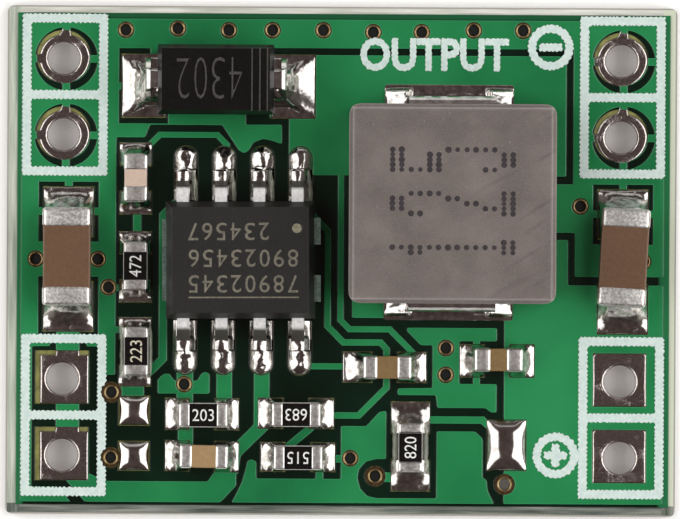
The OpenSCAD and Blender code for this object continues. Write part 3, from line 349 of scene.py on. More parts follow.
FINISHES = {
    # rosin left beside joints, milky enough to show as pale wisps
    "flux": clear_flux(),
    # glossy coat that turns the copper under it green
    "mask": solder_mask(),
    # the board itself, cream at its sawn rim
    "laminate": glass_epoxy(),
    # etched foil left bare round the joints, browned by the soldering heat, and dark enough to be
    # painted shade for the thin gap round each joint
    "copper": metal("browned_copper_foil_with_painted_gap_shade", "3B2E20", "5F4C34", 0.08, 0.002, 0.45),
    # plated through holes, pale gold where light catches the rolled rim
    "via": metal("plated_copper_barrel", "8A7149", "BFA87D", 0.08, 0.002, 0.3),
    # mask ink that closes a via, nearly black
    "plug": printed("dark_mask_ink", "050907", "0E1511", 0.35),
    # wire pads: a dark mirror from above with fine pits
    "levelled_tin": levelled_tin(),
    # the controller's leads, matt and pale on their level parts
    "plated_tin": satin_tin(),
    # the same tin reflowed: smooth, so that level faces go dark and bends flash
    "bright_tin": metal("reflowed_plated_tin", "C9C6C3", "EDEAE6", 0.2, 0.003, 0.2),
    # sheared frame metal at the controller's ends, dull green-grey
    "cut_metal": metal("sheared_copper_alloy", "5F6E66", "8A9B91", 0.1, 0.004, 0.5),
    # fired tin ends, sandy and bright
    "end_tin": metal("fired_tin_end", "BBB8B3", "FBF9F5", 0.08, 0.009, 0.36, 3.0),
    # the same on the small chips, finer in grain
    "small_tin": metal("fine_fired_tin_end", "D0CDC8", "FBF9F5", 0.1, 0.003, 0.3),
    # reflowed solder, bright, with small waves that break up what it reflects
    "solder": metal("reflowed_solder", "A8A4A0", "E6E2DD", 0.2, 0.010, 0.15, 6.0),
    # solder that set with nothing in it: one calm bulge with clear bright flanks
    "calm_solder": metal("calm_reflowed_solder", "B4B0AB", "E9E5E0", 0.3, 0.004, 0.14, 6.0),
    # filled epoxy, sandy and dark grey
    "controller": moulding("fine_black_epoxy", "171615", "292725", 0.07, 0.005, 0.45, 0.05,
                           "413F40", 0.3),
    # finer epoxy, nearly black and even
    "rectifier": moulding("smooth_black_epoxy", "121010", "1D1A1A", 0.06, 0.001, 0.35, 0.04,
                          "2A2626", 0.05),
    # ground warm grey body with a painted highlight along its edges
    "powder": pressed_powder(),
    # resistor base, white and dull
    "alumina": moulding("white_alumina", "C9C6C0", "E8E6E1", 0.1, 0.002, 0.55, 0.03),
    # resistor coat, black and glassy
    "glaze": moulding("black_resistor_glaze", "0A0808", "161313", 0.1, 0.001, 0.2, 0.03),
    # print and marks: screened white, burnt grey, faint grey, white, beige, olive and black
    "ink": printed("white_screen_ink", "C6D9D3", "D9E8E2"),
    "burnt": printed("laser_burnt_epoxy", "5C574C", "7C7666"),
    "faint": printed("faint_laser_mark", "2F2B2A", "433F3D"),
    "pale_mark": printed("white_glaze_ink", "CFCFCB", "F4F4F0"),
    "tan_mark": printed("beige_glaze_ink", "B9AF97", "DDD6C3"),
    "dull_mark": printed("olive_dot", "6E6A54", "98927A"),
    "soot": printed("dark_dot_ink", "1E181B", "372D31"),
}

# fired ceramics: smooth and matt, each with a painted highlight, a paler line along its edges
for shade, low, high, grain_mm, edge in (
        ("brown", "60442F", "6C4E37", 0.14, "B39A80"), ("tan", "755B37", "836941", 0.12, "B79A6C"),
        ("pale", "987C55", "A68961", 0.12, "CBB288"), ("cream", "C6AD9A", "D0B9A8", 0.12, "E5D6C8")):
    FINISHES[shade + "_ceramic"] = moulding(shade + "_fired_ceramic", low, high, grain_mm, 0.002, 0.4,
                                            0.05, edge)

CAD_FINISH = {
    "laminate": "laminate", "copper_top": "copper", "copper_bottom": "copper",
    "solder_mask_top": "mask", "solder_mask_bottom": "mask", "via_barrels": "via",
    "controller_body": "controller", "controller_leads": "plated_tin",
    "controller_slug": "bright_tin", "controller_tie_bars": "cut_metal",
    "rectifier_body": "rectifier", "rectifier_leads": "bright_tin",
    "inductor_body": "powder", "inductor_terminals": "bright_tin",
    "input_capacitor": "brown_ceramic", "output_capacitor": "brown_ceramic",
    "loop_capacitor": "cream_ceramic", "boot_capacitor": "tan_ceramic",
    "lead_capacitor": "tan_ceramic", "supply_capacitor": "pale_ceramic",
    "silkscreen": "ink",
}


def finish_of(name):
    """The finish of a CAD node, from the table or from what its name ends with."""
    if name in CAD_FINISH:
        return CAD_FINISH[name]
    if name.startswith("barrels"):
        return "levelled_tin"
    if name.endswith("_solder"):
        return "solder"
    if name.endswith("_ends"):
        return "small_tin"
    return "glaze" if name.endswith("_coat") else "alumina"


for name, part in NODES.items():
    part.data.materials.clear()
    part.data.materials.append(FINISHES[finish_of(name)])


# ---- Making pieces ----

def piece(name, mesh, finish, replaced=()):
    """Turns a bmesh into a finished piece that rides on the board."""
    data = bpy.data.meshes.new(name)
    mesh.to_mesh(data)
    mesh.free()
    made = placed(name, data)
    data.materials.append(FINISHES[finish])
    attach(made, "root")
    if replaced:
        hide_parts(*replaced)
    return made


def merged(name):
    """A copy of a CAD node's mesh with its doubles joined."""
    copy = bmesh.new()
    copy.from_mesh(NODES[name].data)
    bmesh.ops.remove_doubles(copy, verts=copy.verts, dist=1e-7)
    return copy


def solids(name):
    """The corner points of each separate solid in a node."""
    mesh = merged(name)
    seen, groups = set(), []
    for start in mesh.verts:
        if start.index in seen:
            continue
        seen.add(start.index)
        group, stack = [], [start]
        while stack:
            vert = stack.pop()
            group.append(vert.co.copy())
            for edge in vert.link_edges:
                other = edge.other_vert(vert)
                if other.index not in seen:
                    seen.add(other.index)
                    stack.append(other)
        groups.append(group)
    mesh.free()
    return groups


def spans(points, turn=0.0):
    """Lowest and highest corner of points, in axes turned by turn."""
    back = Matrix.Rotation(-turn, 3, "Z")
    moved = [back @ p for p in points]
    return (Vector([min(p[i] for p in moved) for i in range(3)]),
            Vector([max(p[i] for p in moved) for i in range(3)]))


def turn_of(points):
    """Direction of the long axis of a set of points in plan, as an angle."""
    mx = sum(p.x for p in points) / len(points)
    my = sum(p.y for p in points) / len(points)
    xx = sum((p.x - mx) ** 2 for p in points)
    yy = sum((p.y - my) ** 2 for p in points)
    xy = sum((p.x - mx) * (p.y - my) for p in points)
    return 0.5 * math.atan2(2 * xy, xx - yy)


def skin(mesh, place, u0, u1, width, height, nu=26, nv=24):
    """Adds a closed drop of solder: a height over a pad from u0 to u1, width(u) to each side."""
    rows = []
    for level in (1, 0):
        grid = []
        for i in range(nu + 1):
            u = u0 + (u1 - u0) * i / nu
            w = width(u)
            across = [w * math.sin(math.pi * (j / nv - 0.5)) for j in range(nv + 1)]
            grid.append([mesh.verts.new(place @ Vector((u, v, level * height(u, v)))) for v in across])
        rows.append(grid)
    top, base = rows
    for i in range(nu):
        for j in range(nv):
            upper = mesh.faces.new((top[i][j], top[i + 1][j], top[i + 1][j + 1], top[i][j + 1]))
            upper.smooth = True
            mesh.faces.new((base[i][j], base[i][j + 1], base[i + 1][j + 1], base[i + 1][j]))
    for i in range(nu):
        mesh.faces.new((top[i][0], base[i][0], base[i + 1][0], top[i + 1][0]))
        mesh.faces.new((top[i][nv], top[i + 1][nv], base[i + 1][nv], base[i][nv]))
    for j in range(nv):
        mesh.faces.new((top[0][j], top[0][j + 1], base[0][j + 1], base[0][j]))
        mesh.faces.new((top[nu][j], base[nu][j], base[nu][j + 1], top[nu][j + 1]))


def ripple(x, y, seed, size_mm=0.35):
    """Smooth unevenness between -1 and 1."""
    return noise.noise(Vector((x / (size_mm * MM), y / (size_mm * MM), seed * 7.3)))


def between(stations, t):
    """Values read off a list of (place, value, ...) stations, with straight lines between."""
    for left, right in zip(stations, stations[1:]):
        if t <= right[0]:
            part = max(0.0, (t - left[0]) / (right[0] - left[0]))
            return [a + (b - a) * part for a, b in zip(left[1:], right[1:])]
    return list(stations[-1][1:])


def soft_step(t):
    """0 up to t = 0, 1 from t = 1, and an eased rise between."""
    t = clamp(t)
    return t * t * (3 - 2 * t)


def bent(corners, radius_mm, rounds=3):
    """A path in millimetres through corners, with each bend rounded."""
    path = [Vector(corners[0])]
    for a, b, c in zip(corners, corners[1:], corners[2:]):
        a, b, c = Vector(a), Vector(b), Vector(c)
        path += [b + (a - b).normalized() * radius_mm, b, b + (c - b).normalized() * radius_mm]
    path.append(Vector(corners[-1]))
    for _ in range(rounds):
        cut = [path[0]]
        for a, b in zip(path, path[1:]):
            cut += [a.lerp(b, 0.25), a.lerp(b, 0.75)]
        path = cut + [path[-1]]
    return [p * MM for p in path]


def ribbon(mesh, place, path, half_width, thick):
    """Strip bent along a path in the u-z plane. half_width(d) is read at a distance along it."""
    rings, run = [], 0.0
    for i, point in enumerate(path):
        before, after = path[max(i - 1, 0)], path[min(i + 1, len(path) - 1)]
        run += (point - before).length
        along = (after - before).normalized()
        up = Vector((-along.y, along.x))
        w, t, c = half_width(run), thick / 2, 0.02 * MM
        ring = [(w, c - t), (w, t - c), (w - c, t), (c - w, t),
                (-w, t - c), (-w, c - t), (c - w, -t), (w - c, -t)]
        rings.append([mesh.verts.new(place @ Vector((point.x + up.x * b, a, point.y + up.y * b)))
                      for a, b in ring])
    for first, second in zip(rings, rings[1:]):
        for k in range(8):
            q = (k + 1) % 8
            mesh.faces.new((first[k], first[q], second[q], second[k])).smooth = True
            mesh.edges.get((first[k], second[k])).smooth = False
    mesh.faces.new(rings[0])
    mesh.faces.new(list(reversed(rings[-1])))


def outward(centre, point):
    """Axis turn from a part's middle towards a pad, as a quarter turn."""
    d = point - centre
    if abs(d.x) > abs(d.y):
        return 0.0 if d.x > 0 else math.pi
    return math.pi / 2 if d.y > 0 else -math.pi / 2


def corner_width(along, across, radius=0.11 * MM):
    """Half width of a pad with rounded corners, as a function of the place along it."""
    def width(u):
        past = max(0.0, abs(u) - (along - radius))
        return across - radius + math.sqrt(max(0.0, radius ** 2 - past ** 2))
    return width


def pad_frame(box, turn, grow=0.022 * MM):
    """Placement with u outward, and the pad's extents along and across it."""
    lo, hi = box
    mid = (lo + hi) / 2
    size = hi - lo
    along = size.x if abs(math.cos(turn)) > 0.5 else size.y
    across = size.y if abs(math.cos(turn)) > 0.5 else size.x
    return standing(mid.x, mid.y, FOIL, turn), along / 2 + grow, across / 2 + grow


# ---- Solder ----

def joint_height(end, top, lip, half, seed, crown):
    """Height of a joint: from top at the part's end face down to lip at the pad's edge."""
    def height(u, v):
        t = (u - end) / (half[0] - end)
        along = lip + (top - lip) * (1 - clamp(t)) ** 1.7
        edge = 1 - (abs(v) / half[1]) ** crown
        h = lip + (along - lip) * max(0.0, edge)
        wave = 0.05 * ripple(u, v, seed) + 0.025 * ripple(u, v, seed + 5, 0.16)
        h += top * wave * max(0.0, edge)
        return max(h, 0.4 * lip)
    return height


def climbing_height(end, half, seed):
    """Height of a joint that climbs a broad lead: a bright slope outside, a steep hollow inside."""
    stations = [(0.0, 0.66, 0.66), (0.22, 0.44, 0.74), (0.45, 0.25, 0.86), (0.7, 0.13, 0.95),
                (0.93, 0.035, 1.0), (1.0, 0.0, 1.02)]

    def height(u, v):
        tall, reach = between(stations, max(0.0, (u - end) / (half[0] - end)))
        edge = max(0.0, 1 - (abs(v) / (reach * MM)) ** 2.6)
        wave = 1 + 0.1 * ripple(u, v, seed, 0.4) + 0.06 * ripple(u, v, seed + 5, 0.16)
        return 0.03 * MM + tall * MM * edge * wave
    return height


def terminal_height(end, half, seed):
    """Height of a joint along a wide terminal: a dome at each corner and a thin film between."""
    def height(u, v):
        out = (half[0] - u) / MM
        far = (half[1] - abs(v)) / MM
        rise = soft_step((out - 0.08) / 0.16)
        dome = 0.1 + 0.5 * min(far, 0.75) if far < 0.75 else 0.475 * soft_step((0.95 - far) / 0.2)
        dome *= rise * soft_step((far + 0.02) / 0.05)
        film = 0.045 + 0.1 * soft_step((u - end + 0.1 * MM) / (-0.35 * MM) + 1) * rise
        wave = 1 + 0.16 * ripple(u, v, seed, 0.45) + 0.06 * ripple(u, v, seed + 5, 0.16)
        return max(0.02, max(dome, film) * wave) * MM
    return height


def joints(name, owners, top=0.6, crown=2.4, shape=None, nu=26, nv=24):
    """Solder at the ends of two-ended parts, each owner being the node of a part's ends."""
    mesh = bmesh.new()
    pads = [(spans(p), sum(p, Vector()) / len(p)) for p in solids(name)]
    for seed, owner in enumerate(owners):
        lo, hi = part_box(owner)
        centre = (lo + hi) / 2
        near = sorted(pads, key=lambda q: (q[1] - centre).length)[:2]
        for k, (box, middle) in enumerate(near):
            turn = outward(centre, middle)
            place, along, across = pad_frame(box, turn)
            inside = place.inverted()
            reach = [(inside @ Vector((x, y, FOIL))).x for x in (lo.x, hi.x) for y in (lo.y, hi.y)]
            end = max(r for r in reach if r < along)
            tall = top * (hi.z - FOIL)
            height = (shape(end, (along, across), seed * 2 + k) if shape else
                      joint_height(end, tall, JOINT_LIP, (along, across), seed * 2 + k, crown))
            skin(mesh, place, -along, along, corner_width(along, across), height, nu, nv)
    face_out(mesh)
    piece(name.replace("_solder", "_joints"), mesh, "solder", (name,))


def face_out(mesh):
    """Turns every face of a closed mesh outward."""
    bmesh.ops.recalc_face_normals(mesh, faces=mesh.faces)


def lead_joints():
    """Joints of the controller's leads: a drop at the toe, banks along the foot, a heel."""
    mesh = bmesh.new()
    feet = [spans(p) for p in solids("controller_leads")]
    middle = (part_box("controller_body")[0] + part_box("controller_body")[1]) / 2
    for seed, points in enumerate(solids("controller_solder")):
        lo, hi = spans(points)
        if hi.x - lo.x > 1.5 * MM:
            slug_pad = (lo, hi)
            continue
        turn = outward(middle, Vector((middle.x, (lo.y + hi.y) / 2, 0)))
        place, along, across = pad_frame((lo, hi), turn)
        inside = place.inverted()
        foot = min(feet, key=lambda f: ((f[0] + f[1]) / 2 - (lo + hi) / 2).length)
        ends = [(inside @ Vector((foot[0].x, y, FOIL))).x for y in (foot[0].y, foot[1].y)]
        toe = max(ends)
        shift = (inside @ Vector(((foot[0].x + foot[1].x) / 2, lo.y, FOIL))).y
        lead_half = (foot[1].x - foot[0].x) / 2

        def width(u, along=along, across=across):
            past = max(0.0, u - (along - across))
            return max(0.03 * MM, math.sqrt(max(0.0, across ** 2 - past ** 2)))

        def height(u, v, toe=toe, along=along, across=across, seed=seed, shift=shift,
                   lead_half=lead_half, width=width, groove_mm=0.04 if lo.y > 0 else 0.008):
            side = max(0.0, 1 - (abs(v) / max(width(u), 1e-6)) ** 2.7)
            wave = 0.26 * ripple(u, v, seed, 0.3) + 0.06 * ripple(u, v, seed + 5, 0.11)
            from_toe = u - toe + 0.12 * abs(v - shift)
            groove = groove_mm * MM * math.exp(-(from_toe / (0.03 * MM)) ** 2)
            if u > toe:
                t = (u - toe) / (along - toe)
                crest = (0.25 - 0.13 * t - 0.09 * t ** 8) * MM
                return 0.02 * MM + crest * side * (1 + wave) - groove * side
            back = clamp((toe - u) / (1.05 * MM))
            over = 1 - soft_step((toe - u) / (0.12 * MM) - 3.2)
            beside = max(0.0, abs(v - shift) - lead_half)
            fall = max(0.0, 1 - beside / max(across - lead_half, 1e-6))
            crown = max(0.0, 1 - (abs(v - shift) / lead_half) ** 2.8)
            film = (0.235 + 0.065 * crown) * MM * fall ** 0.8
            film += 0.12 * wave * MM * fall - groove * fall
            bank = (0.2 - 0.1 * back) * MM * (1 + wave) * fall ** 1.3
            return 0.025 * MM + bank + (film - 0.025 * MM - bank) * over
        skin(mesh, place, -along, along, width, height, 64, 30)
    lo, hi = slug_pad
    place, along, across = pad_frame((lo, hi), 0.0)
    skin(mesh, place, -along, along, lambda u: across, lambda u, v: hi.z - FOIL, 2, 2)
    face_out(mesh)
    piece("controller_joints", mesh, "solder", ("controller_solder",))


def cushions():
    """Solder left on the empty pads, and the bulge that bridges the two joined pads."""
    mesh = bmesh.new()
    for seed, points in enumerate(solids("bridge_solder")):
        lo, hi = spans(points)
        place, along, across = pad_frame((lo, hi), math.pi / 2)
        tall = hi.z - FOIL
        waist = 0.16 if tall < 0.35 * MM else 0.05
        tall *= 0.74

        def height(u, v, along=along, across=across, tall=tall, seed=seed):
            a = max(0.0, 1 - (abs(u) / along) ** 2.2)
            b = max(0.0, 1 - (abs(v) / across) ** 2.8)
            wave = 1 + 0.05 * ripple(u, v, seed, 0.4)
            return 0.02 * MM + (tall - 0.03 * MM) * a ** 0.8 * b ** 0.85 * wave

        def width(u, along=along, across=across, waist=waist):
            narrow = 1 - waist * max(0.0, 1 - (abs(u) / along) ** 2)
            return corner_width(along, across, 0.08 * MM)(u) * narrow
        skin(mesh, place, -along, along, width, height, 36, 36)
    face_out(mesh)
    piece("bridge_cushions", mesh, "calm_solder", ("bridge_solder",))


LARGE_CAPS = ("input_capacitor", "output_capacitor")
CHIP_CAPS = ("loop_capacitor", "boot_capacitor", "lead_capacitor", "supply_capacitor")
CHIP_RESISTORS = ("loop_resistor", "lower_resistor", "clock_resistor", "enable_resistor_a",
                  "enable_resistor_b", "upper_resistor")
lead_joints()
cushions()
joints("large_capacitor_solder", [c + "_ends" for c in LARGE_CAPS], top=0.6, crown=3.0)
joints("small_capacitor_solder", [c + "_ends" for c in CHIP_CAPS], top=0.62)
joints("resistor_solder", [r + "_ends" for r in CHIP_RESISTORS], top=0.8)
joints("rectifier_solder", ["rectifier_leads"], shape=climbing_height, nu=44, nv=44)
joints("inductor_solder", ["inductor_terminals"], shape=terminal_height, nu=48, nv=110)


def gull_wings():
    """The controller's eight leads, bent from strip: level shoulder, slope, and foot."""
    mesh = bmesh.new()
    body_lo, body_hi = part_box("controller_body")
    for points in solids("controller_leads"):
        lo, hi = spans(points)
        upper = lo.y > 0
        out = 1 if upper else -1
        face = body_hi.y if upper else body_lo.y
        toe = (hi.y - face if upper else face - lo.y) / MM
        shoulder, foot = (0.39, 0.6) if upper else (0.27, 0.7)
        top, low = hi.z / MM - STRIP / 2, lo.z / MM + STRIP / 2
        path = bent([(-0.2, top), (shoulder, top), (foot, low), (toe, low)], 0.1)
        place = standing((lo.x + hi.x) / 2, face, 0, out * math.pi / 2)
        half = (hi.x - lo.x) / 2
        ribbon(mesh, place, path,
               lambda d, half=half: half - 0.01 * MM * (1 - min(1.0, d / MM)), STRIP * MM)
    face_out(mesh)
    piece("gull_wing_leads", mesh, "plated_tin", ("controller_leads",))


def rectifier_straps():
    """The rectifier's two leads: narrow out of the body, wider down the bend, folded under it."""
    mesh = bmesh.new()
    body_lo, body_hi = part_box("rectifier_body")
    for points in solids("rectifier_leads"):
        lo, hi = spans(points)
        left = hi.x < (body_lo.x + body_hi.x) / 2
        face = body_lo.x if left else body_hi.x
        place = standing(face, (lo.y + hi.y) / 2, 0, math.pi if left else 0.0)
        reach = ((face - lo.x if left else hi.x - face) / MM) - STRIP / 2
        top, low = hi.z / MM - STRIP / 2 - 0.1, lo.z / MM + STRIP / 2
        path = bent([(-0.2, top), (reach, top), (reach, low), (-0.7, low)], 0.2)
        wide = (hi.y - lo.y) / 2

        def half_width(d, wide=wide):
            return wide * (0.4 + 0.6 * soft_step((d / MM - 0.3) / 0.9))
        ribbon(mesh, place, path, half_width, STRIP * MM)
    face_out(mesh)
    piece("rectifier_straps", mesh, "bright_tin", ("rectifier_leads",))


gull_wings()
rectifier_straps()


def flux_residue():
    """Clear flux left as thin drops beside joints, seen by the lights along their edges."""
    mesh = bmesh.new()

    def drop(x, y, turn, length, width, tall):
        place = standing(x, y, LAMINATE_TOP + 0.03 * MM, turn)
        half, side = length / 2, width / 2

        def reach(u):
            wander = 1 + 0.25 * ripple(u, x, y * 900)
            return side * max(0.02, 1 - (abs(u) / half) ** 3) * wander

        def height(u, v):
            taper = max(0.05, 1 - (abs(u) / half) ** 4)
            return 0.02 * MM + tall * max(0.0, 1 - (v / side) ** 2) ** 0.5 * taper
        skin(mesh, place, -half, half, reach, height, 30, 8)

    for name, wide in (("lower_resistor", 0.15), ("upper_resistor", 0.22)):
        lo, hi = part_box(name)
        for edge, out in ((lo.x, -1), (hi.x, 1)):
            drop(edge + out * wide * 0.42 * MM, (lo.y + hi.y) / 2, math.pi / 2,
                 1.9 * MM, wide * MM, 0.22 * MM)
    for points in solids("controller_leads"):
        lo, hi = spans(points)
        if lo.y > 0:
            drop(hi.x + 0.17 * MM, hi.y - 0.55 * MM, math.radians(97),
                 1.3 * MM, 0.16 * MM, 0.1 * MM)
    face_out(mesh)
    piece("flux_residue", mesh, "flux")


flux_residue()


# ---- Metal ends of the chips ----

def rounded_block(mesh, place, size, radius, segments=4):
    """Adds a block with all edges rounded."""
    made = bmesh.ops.create_cube(mesh, size=1.0)["verts"]
    bmesh.ops.scale(mesh, vec=size, verts=made)
    edges = list({e for v in made for e in v.link_edges})
    out = bmesh.ops.bevel(mesh, geom=edges, offset=radius, segments=segments, profile=0.5,
                          affect="EDGES", clamp_overlap=True)
    verts = list({v for f in out["faces"] for v in f.verts} | {v for v in made if v.is_valid})
    bmesh.ops.transform(mesh, matrix=place, verts=verts)


def end_caps(chip, radius_mm, finish, inward, outward):
    """The two rounded metal ends of a chip. They lap inward over its body and outward into its
    joints, by millimetres."""
    name = chip + "_ends"
    groups = solids(name)
    every = [p for g in groups for p in g]
    turn = turn_of(every)
    all_lo, all_hi = spans(every, turn)
    mesh = bmesh.new()
    for group in groups:
        lo, hi = spans(group, turn)
        if lo.x + hi.x < all_lo.x + all_hi.x:
            lo.x, hi.x = lo.x - outward * MM, hi.x + inward * MM
        else:
            lo.x, hi.x = lo.x - inward * MM, hi.x + outward * MM
        place = Matrix.Rotation(turn, 4, "Z") @ Matrix.Translation((lo + hi) / 2)
        rounded_block(mesh, place, hi - lo, radius_mm * MM)
    for face in mesh.faces:
        face.smooth = True
    piece(name.replace("_ends", "_caps"), mesh, finish, (name,))


for chip in LARGE_CAPS:
    end_caps(chip, 0.14, "end_tin", 0.1, 0.07)
for chip, inward in zip(CHIP_CAPS, (0.16, 0.1, 0.16, 0.04)):
    end_caps(chip, 0.1, "small_tin", inward, 0.04)
for chip in CHIP_RESISTORS:
    end_caps(chip, 0.07, "small_tin", 0.0 if chip == "upper_resistor" else 0.05, 0.04)


# ---- Tinned wire pads with rolled rims ----

def lathe(mesh, rings, last_smooth, first_smooth=1):
    """Closes a ring of equal profiles into a solid, smooth between two points of the profile."""
    count = len(rings[0])
    for first, second in zip(rings, rings[1:] + rings[:1]):
        for k in range(count):
            q = (k + 1) % count
            face = mesh.faces.new((first[k], second[k], second[q], first[q]))
            face.smooth = first_smooth <= k < last_smooth


def pad_reach(tops, hole, d):
    """How far the tin reaches from a hole's axis along d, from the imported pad's own outline."""
    best = HOLE_R
    for a, b in tops:
        ax, ay, bx, by = a.x - hole.x, a.y - hole.y, b.x - hole.x, b.y - hole.y
        cross = d.x * (by - ay) - d.y * (bx - ax)
        if abs(cross) < 1e-15:
            continue
        t = (ax * (by - ay) - ay * (bx - ax)) / cross
        s = (ax * d.y - ay * d.x) / cross
        if 0 <= s <= 1 and best < t < 1.25 * MM:
            best = t
    return best


def wire_pads(name):
    """Both plated holes of a node: barrel, tinned land with a rolled rim, ring underneath."""
    mesh = bmesh.new()
    source = merged(name)
    top_edges = [(e.verts[0].co.copy(), e.verts[1].co.copy()) for e in source.edges
                 if min(v.co.z for v in e.verts) > PAD_TOP - 1e-7]
    wall_r = HOLE_R + BARREL_WALL
    ring_z = min(v.co.z for v in source.verts)
    source.free()
    side, sign = name.split("_")[1:]
    steps = 180
    for spot in ("outer", "inner"):
        hole = Vector(MOUNTS[f"{side}_{sign}_{spot}_hole"]["pos_m"])
        rings = []
        for i in range(steps):
            angle = 2 * math.pi * (i + 0.5) / steps
            cos, sin = math.cos(angle), math.sin(angle)
            reach = pad_reach(top_edges, hole, Vector((cos, sin)))
            if sign == "negative":
                # the foil's ring sits a little to the left of the hole
                reach += (0.04 - 0.05 * cos) * MM
                # tin drawn out along the spokes that the mask leaves bare
                for spoke in (math.pi / 2, math.pi):
                    reach += 0.13 * MM * math.exp(-((angle - spoke) / 0.13) ** 2)
            roll, lip, drop = 0.07 * MM, 0.045 * MM, PAD_TOP - LAMINATE_TOP
            wave = noise.noise(Vector((cos, sin, hole.y * 500)))
            land = min(PAD_TOP + 0.003 * MM * wave, PAD_TOP)
            mouth = HOLE_R - 0.02 * MM
            profile = [(HOLE_R, ring_z), (HOLE_R, PAD_TOP - 0.3 * MM)]
            profile += [(mouth + roll * (1 - math.cos(t)), PAD_TOP - roll * (1 - math.sin(t)))
                        for t in [math.pi / 12 * k for k in range(7)]]
            profile += [(HOLE_R + 0.5 * (reach - HOLE_R), land), (reach - 1.5 * lip, PAD_TOP)]
            profile += [(reach - lip * (1 - math.sin(t)), PAD_TOP - drop * (1 - math.cos(t)))
                        for t in [math.pi / 8 * k for k in range(1, 5)]]
            profile += [(wall_r, LAMINATE_TOP), (wall_r, LAMINATE_BOTTOM - UNDER_TIN),
                        (0.8 * MM, LAMINATE_BOTTOM - UNDER_TIN), (0.8 * MM, ring_z)]
            rings.append([mesh.verts.new((hole.x + r * cos, hole.y + r * sin, z)) for r, z in profile])
        lathe(mesh, rings, 13, 2)
    face_out(mesh)
    piece(name.replace("barrels", "plated_pads"), mesh, "levelled_tin", (name,))


for side in ("input", "output"):
    for sign in ("negative", "positive"):
        wire_pads(f"barrels_{side}_{sign}")


def via_rims():
    """Barrels of the vias, each rim rolled over its ring, and the ink that closes all but one."""
    mesh, ink = bmesh.new(), bmesh.new()
    groups = solids("via_barrels")
    open_one = min(groups, key=lambda g: spans(g)[0].y)
    low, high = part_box("via_barrels")
    for group in groups:
        lo, hi = spans(group)
        x, y = (lo.x + hi.x) / 2, (lo.y + hi.y) / 2
        wall = (hi.x - lo.x) / 2
        bore, land, roll = wall - 0.035 * MM, 0.235 * MM, 0.035 * MM
        crest = FOIL + 0.006 * MM
        profile = [(bore, low.z), (bore, crest - roll)]
        profile += [(bore + roll * (1 - math.cos(t)), crest - roll * (1 - math.sin(t)))
                    for t in [math.pi / 10 * k for k in range(1, 6)]]
        profile += [(land, crest), (land + 0.01 * MM, FOIL), (wall, FOIL), (wall, low.z)]
        rings = [[mesh.verts.new((x + r * math.cos(a), y + r * math.sin(a), z)) for r, z in profile]
                 for a in [2 * math.pi * i / 40 for i in range(40)]]
        lathe(mesh, rings, 8)
        if group is not open_one:
            middle = Matrix.Translation((x, y, FOIL - 0.5 * MM))
            bmesh.ops.create_cone(ink, cap_ends=True, segments=32, radius1=bore, radius2=bore,
                                  depth=0.7 * MM, matrix=middle)
    face_out(mesh)
    piece("via_rims", mesh, "via", ("via_barrels",))
    piece("via_ink", ink, "plug")


via_rims()


# ---- Print and marks ----

def lettering(text, height, width, turn, at, z, bold=0.0):
    """Flat letters as a closed bmesh: height and overall width in metres, centred on a point."""
    curve = bpy.data.curves.new("letters", "FONT")
    curve.body = text
    curve.resolution_u = 3
    curve.extrude = 0.5
    curve.offset = bold
    holder = placed("letters", curve)
    bpy.context.view_layer.update()
    graph = bpy.context.evaluated_depsgraph_get()
    data = bpy.data.meshes.new_from_object(holder.evaluated_get(graph))
    mesh = bmesh.new()
    mesh.from_mesh(data)
    bpy.data.objects.remove(holder)
    bpy.data.curves.remove(curve)
    bpy.data.meshes.remove(data)
    bmesh.ops.remove_doubles(mesh, verts=mesh.verts, dist=1e-5)
    lo = [min(v.co[i] for v in mesh.verts) for i in range(3)]
    hi = [max(v.co[i] for v in mesh.verts) for i in range(3)]
    sy = height / (hi[1] - lo[1])
    sx = width / (hi[0] - lo[0])
    move = standing(at[0], at[1], z, turn)
    fit = Matrix.Diagonal((sx, sy, MARK_THICK / (hi[2] - lo[2]), 1))
    centre = Matrix.Translation((-(lo[0] + hi[0]) / 2, -(lo[1] + hi[1]) / 2, -(lo[2] + hi[2]) / 2))
    mesh.transform(move @ fit @ centre)
    face_out(mesh)
    return mesh


def join(target, other):
    """Moves one bmesh into another and frees it."""
    data = bpy.data.meshes.new("part")
    other.to_mesh(data)
    other.free()
    target.from_mesh(data)
    bpy.data.meshes.remove(data)


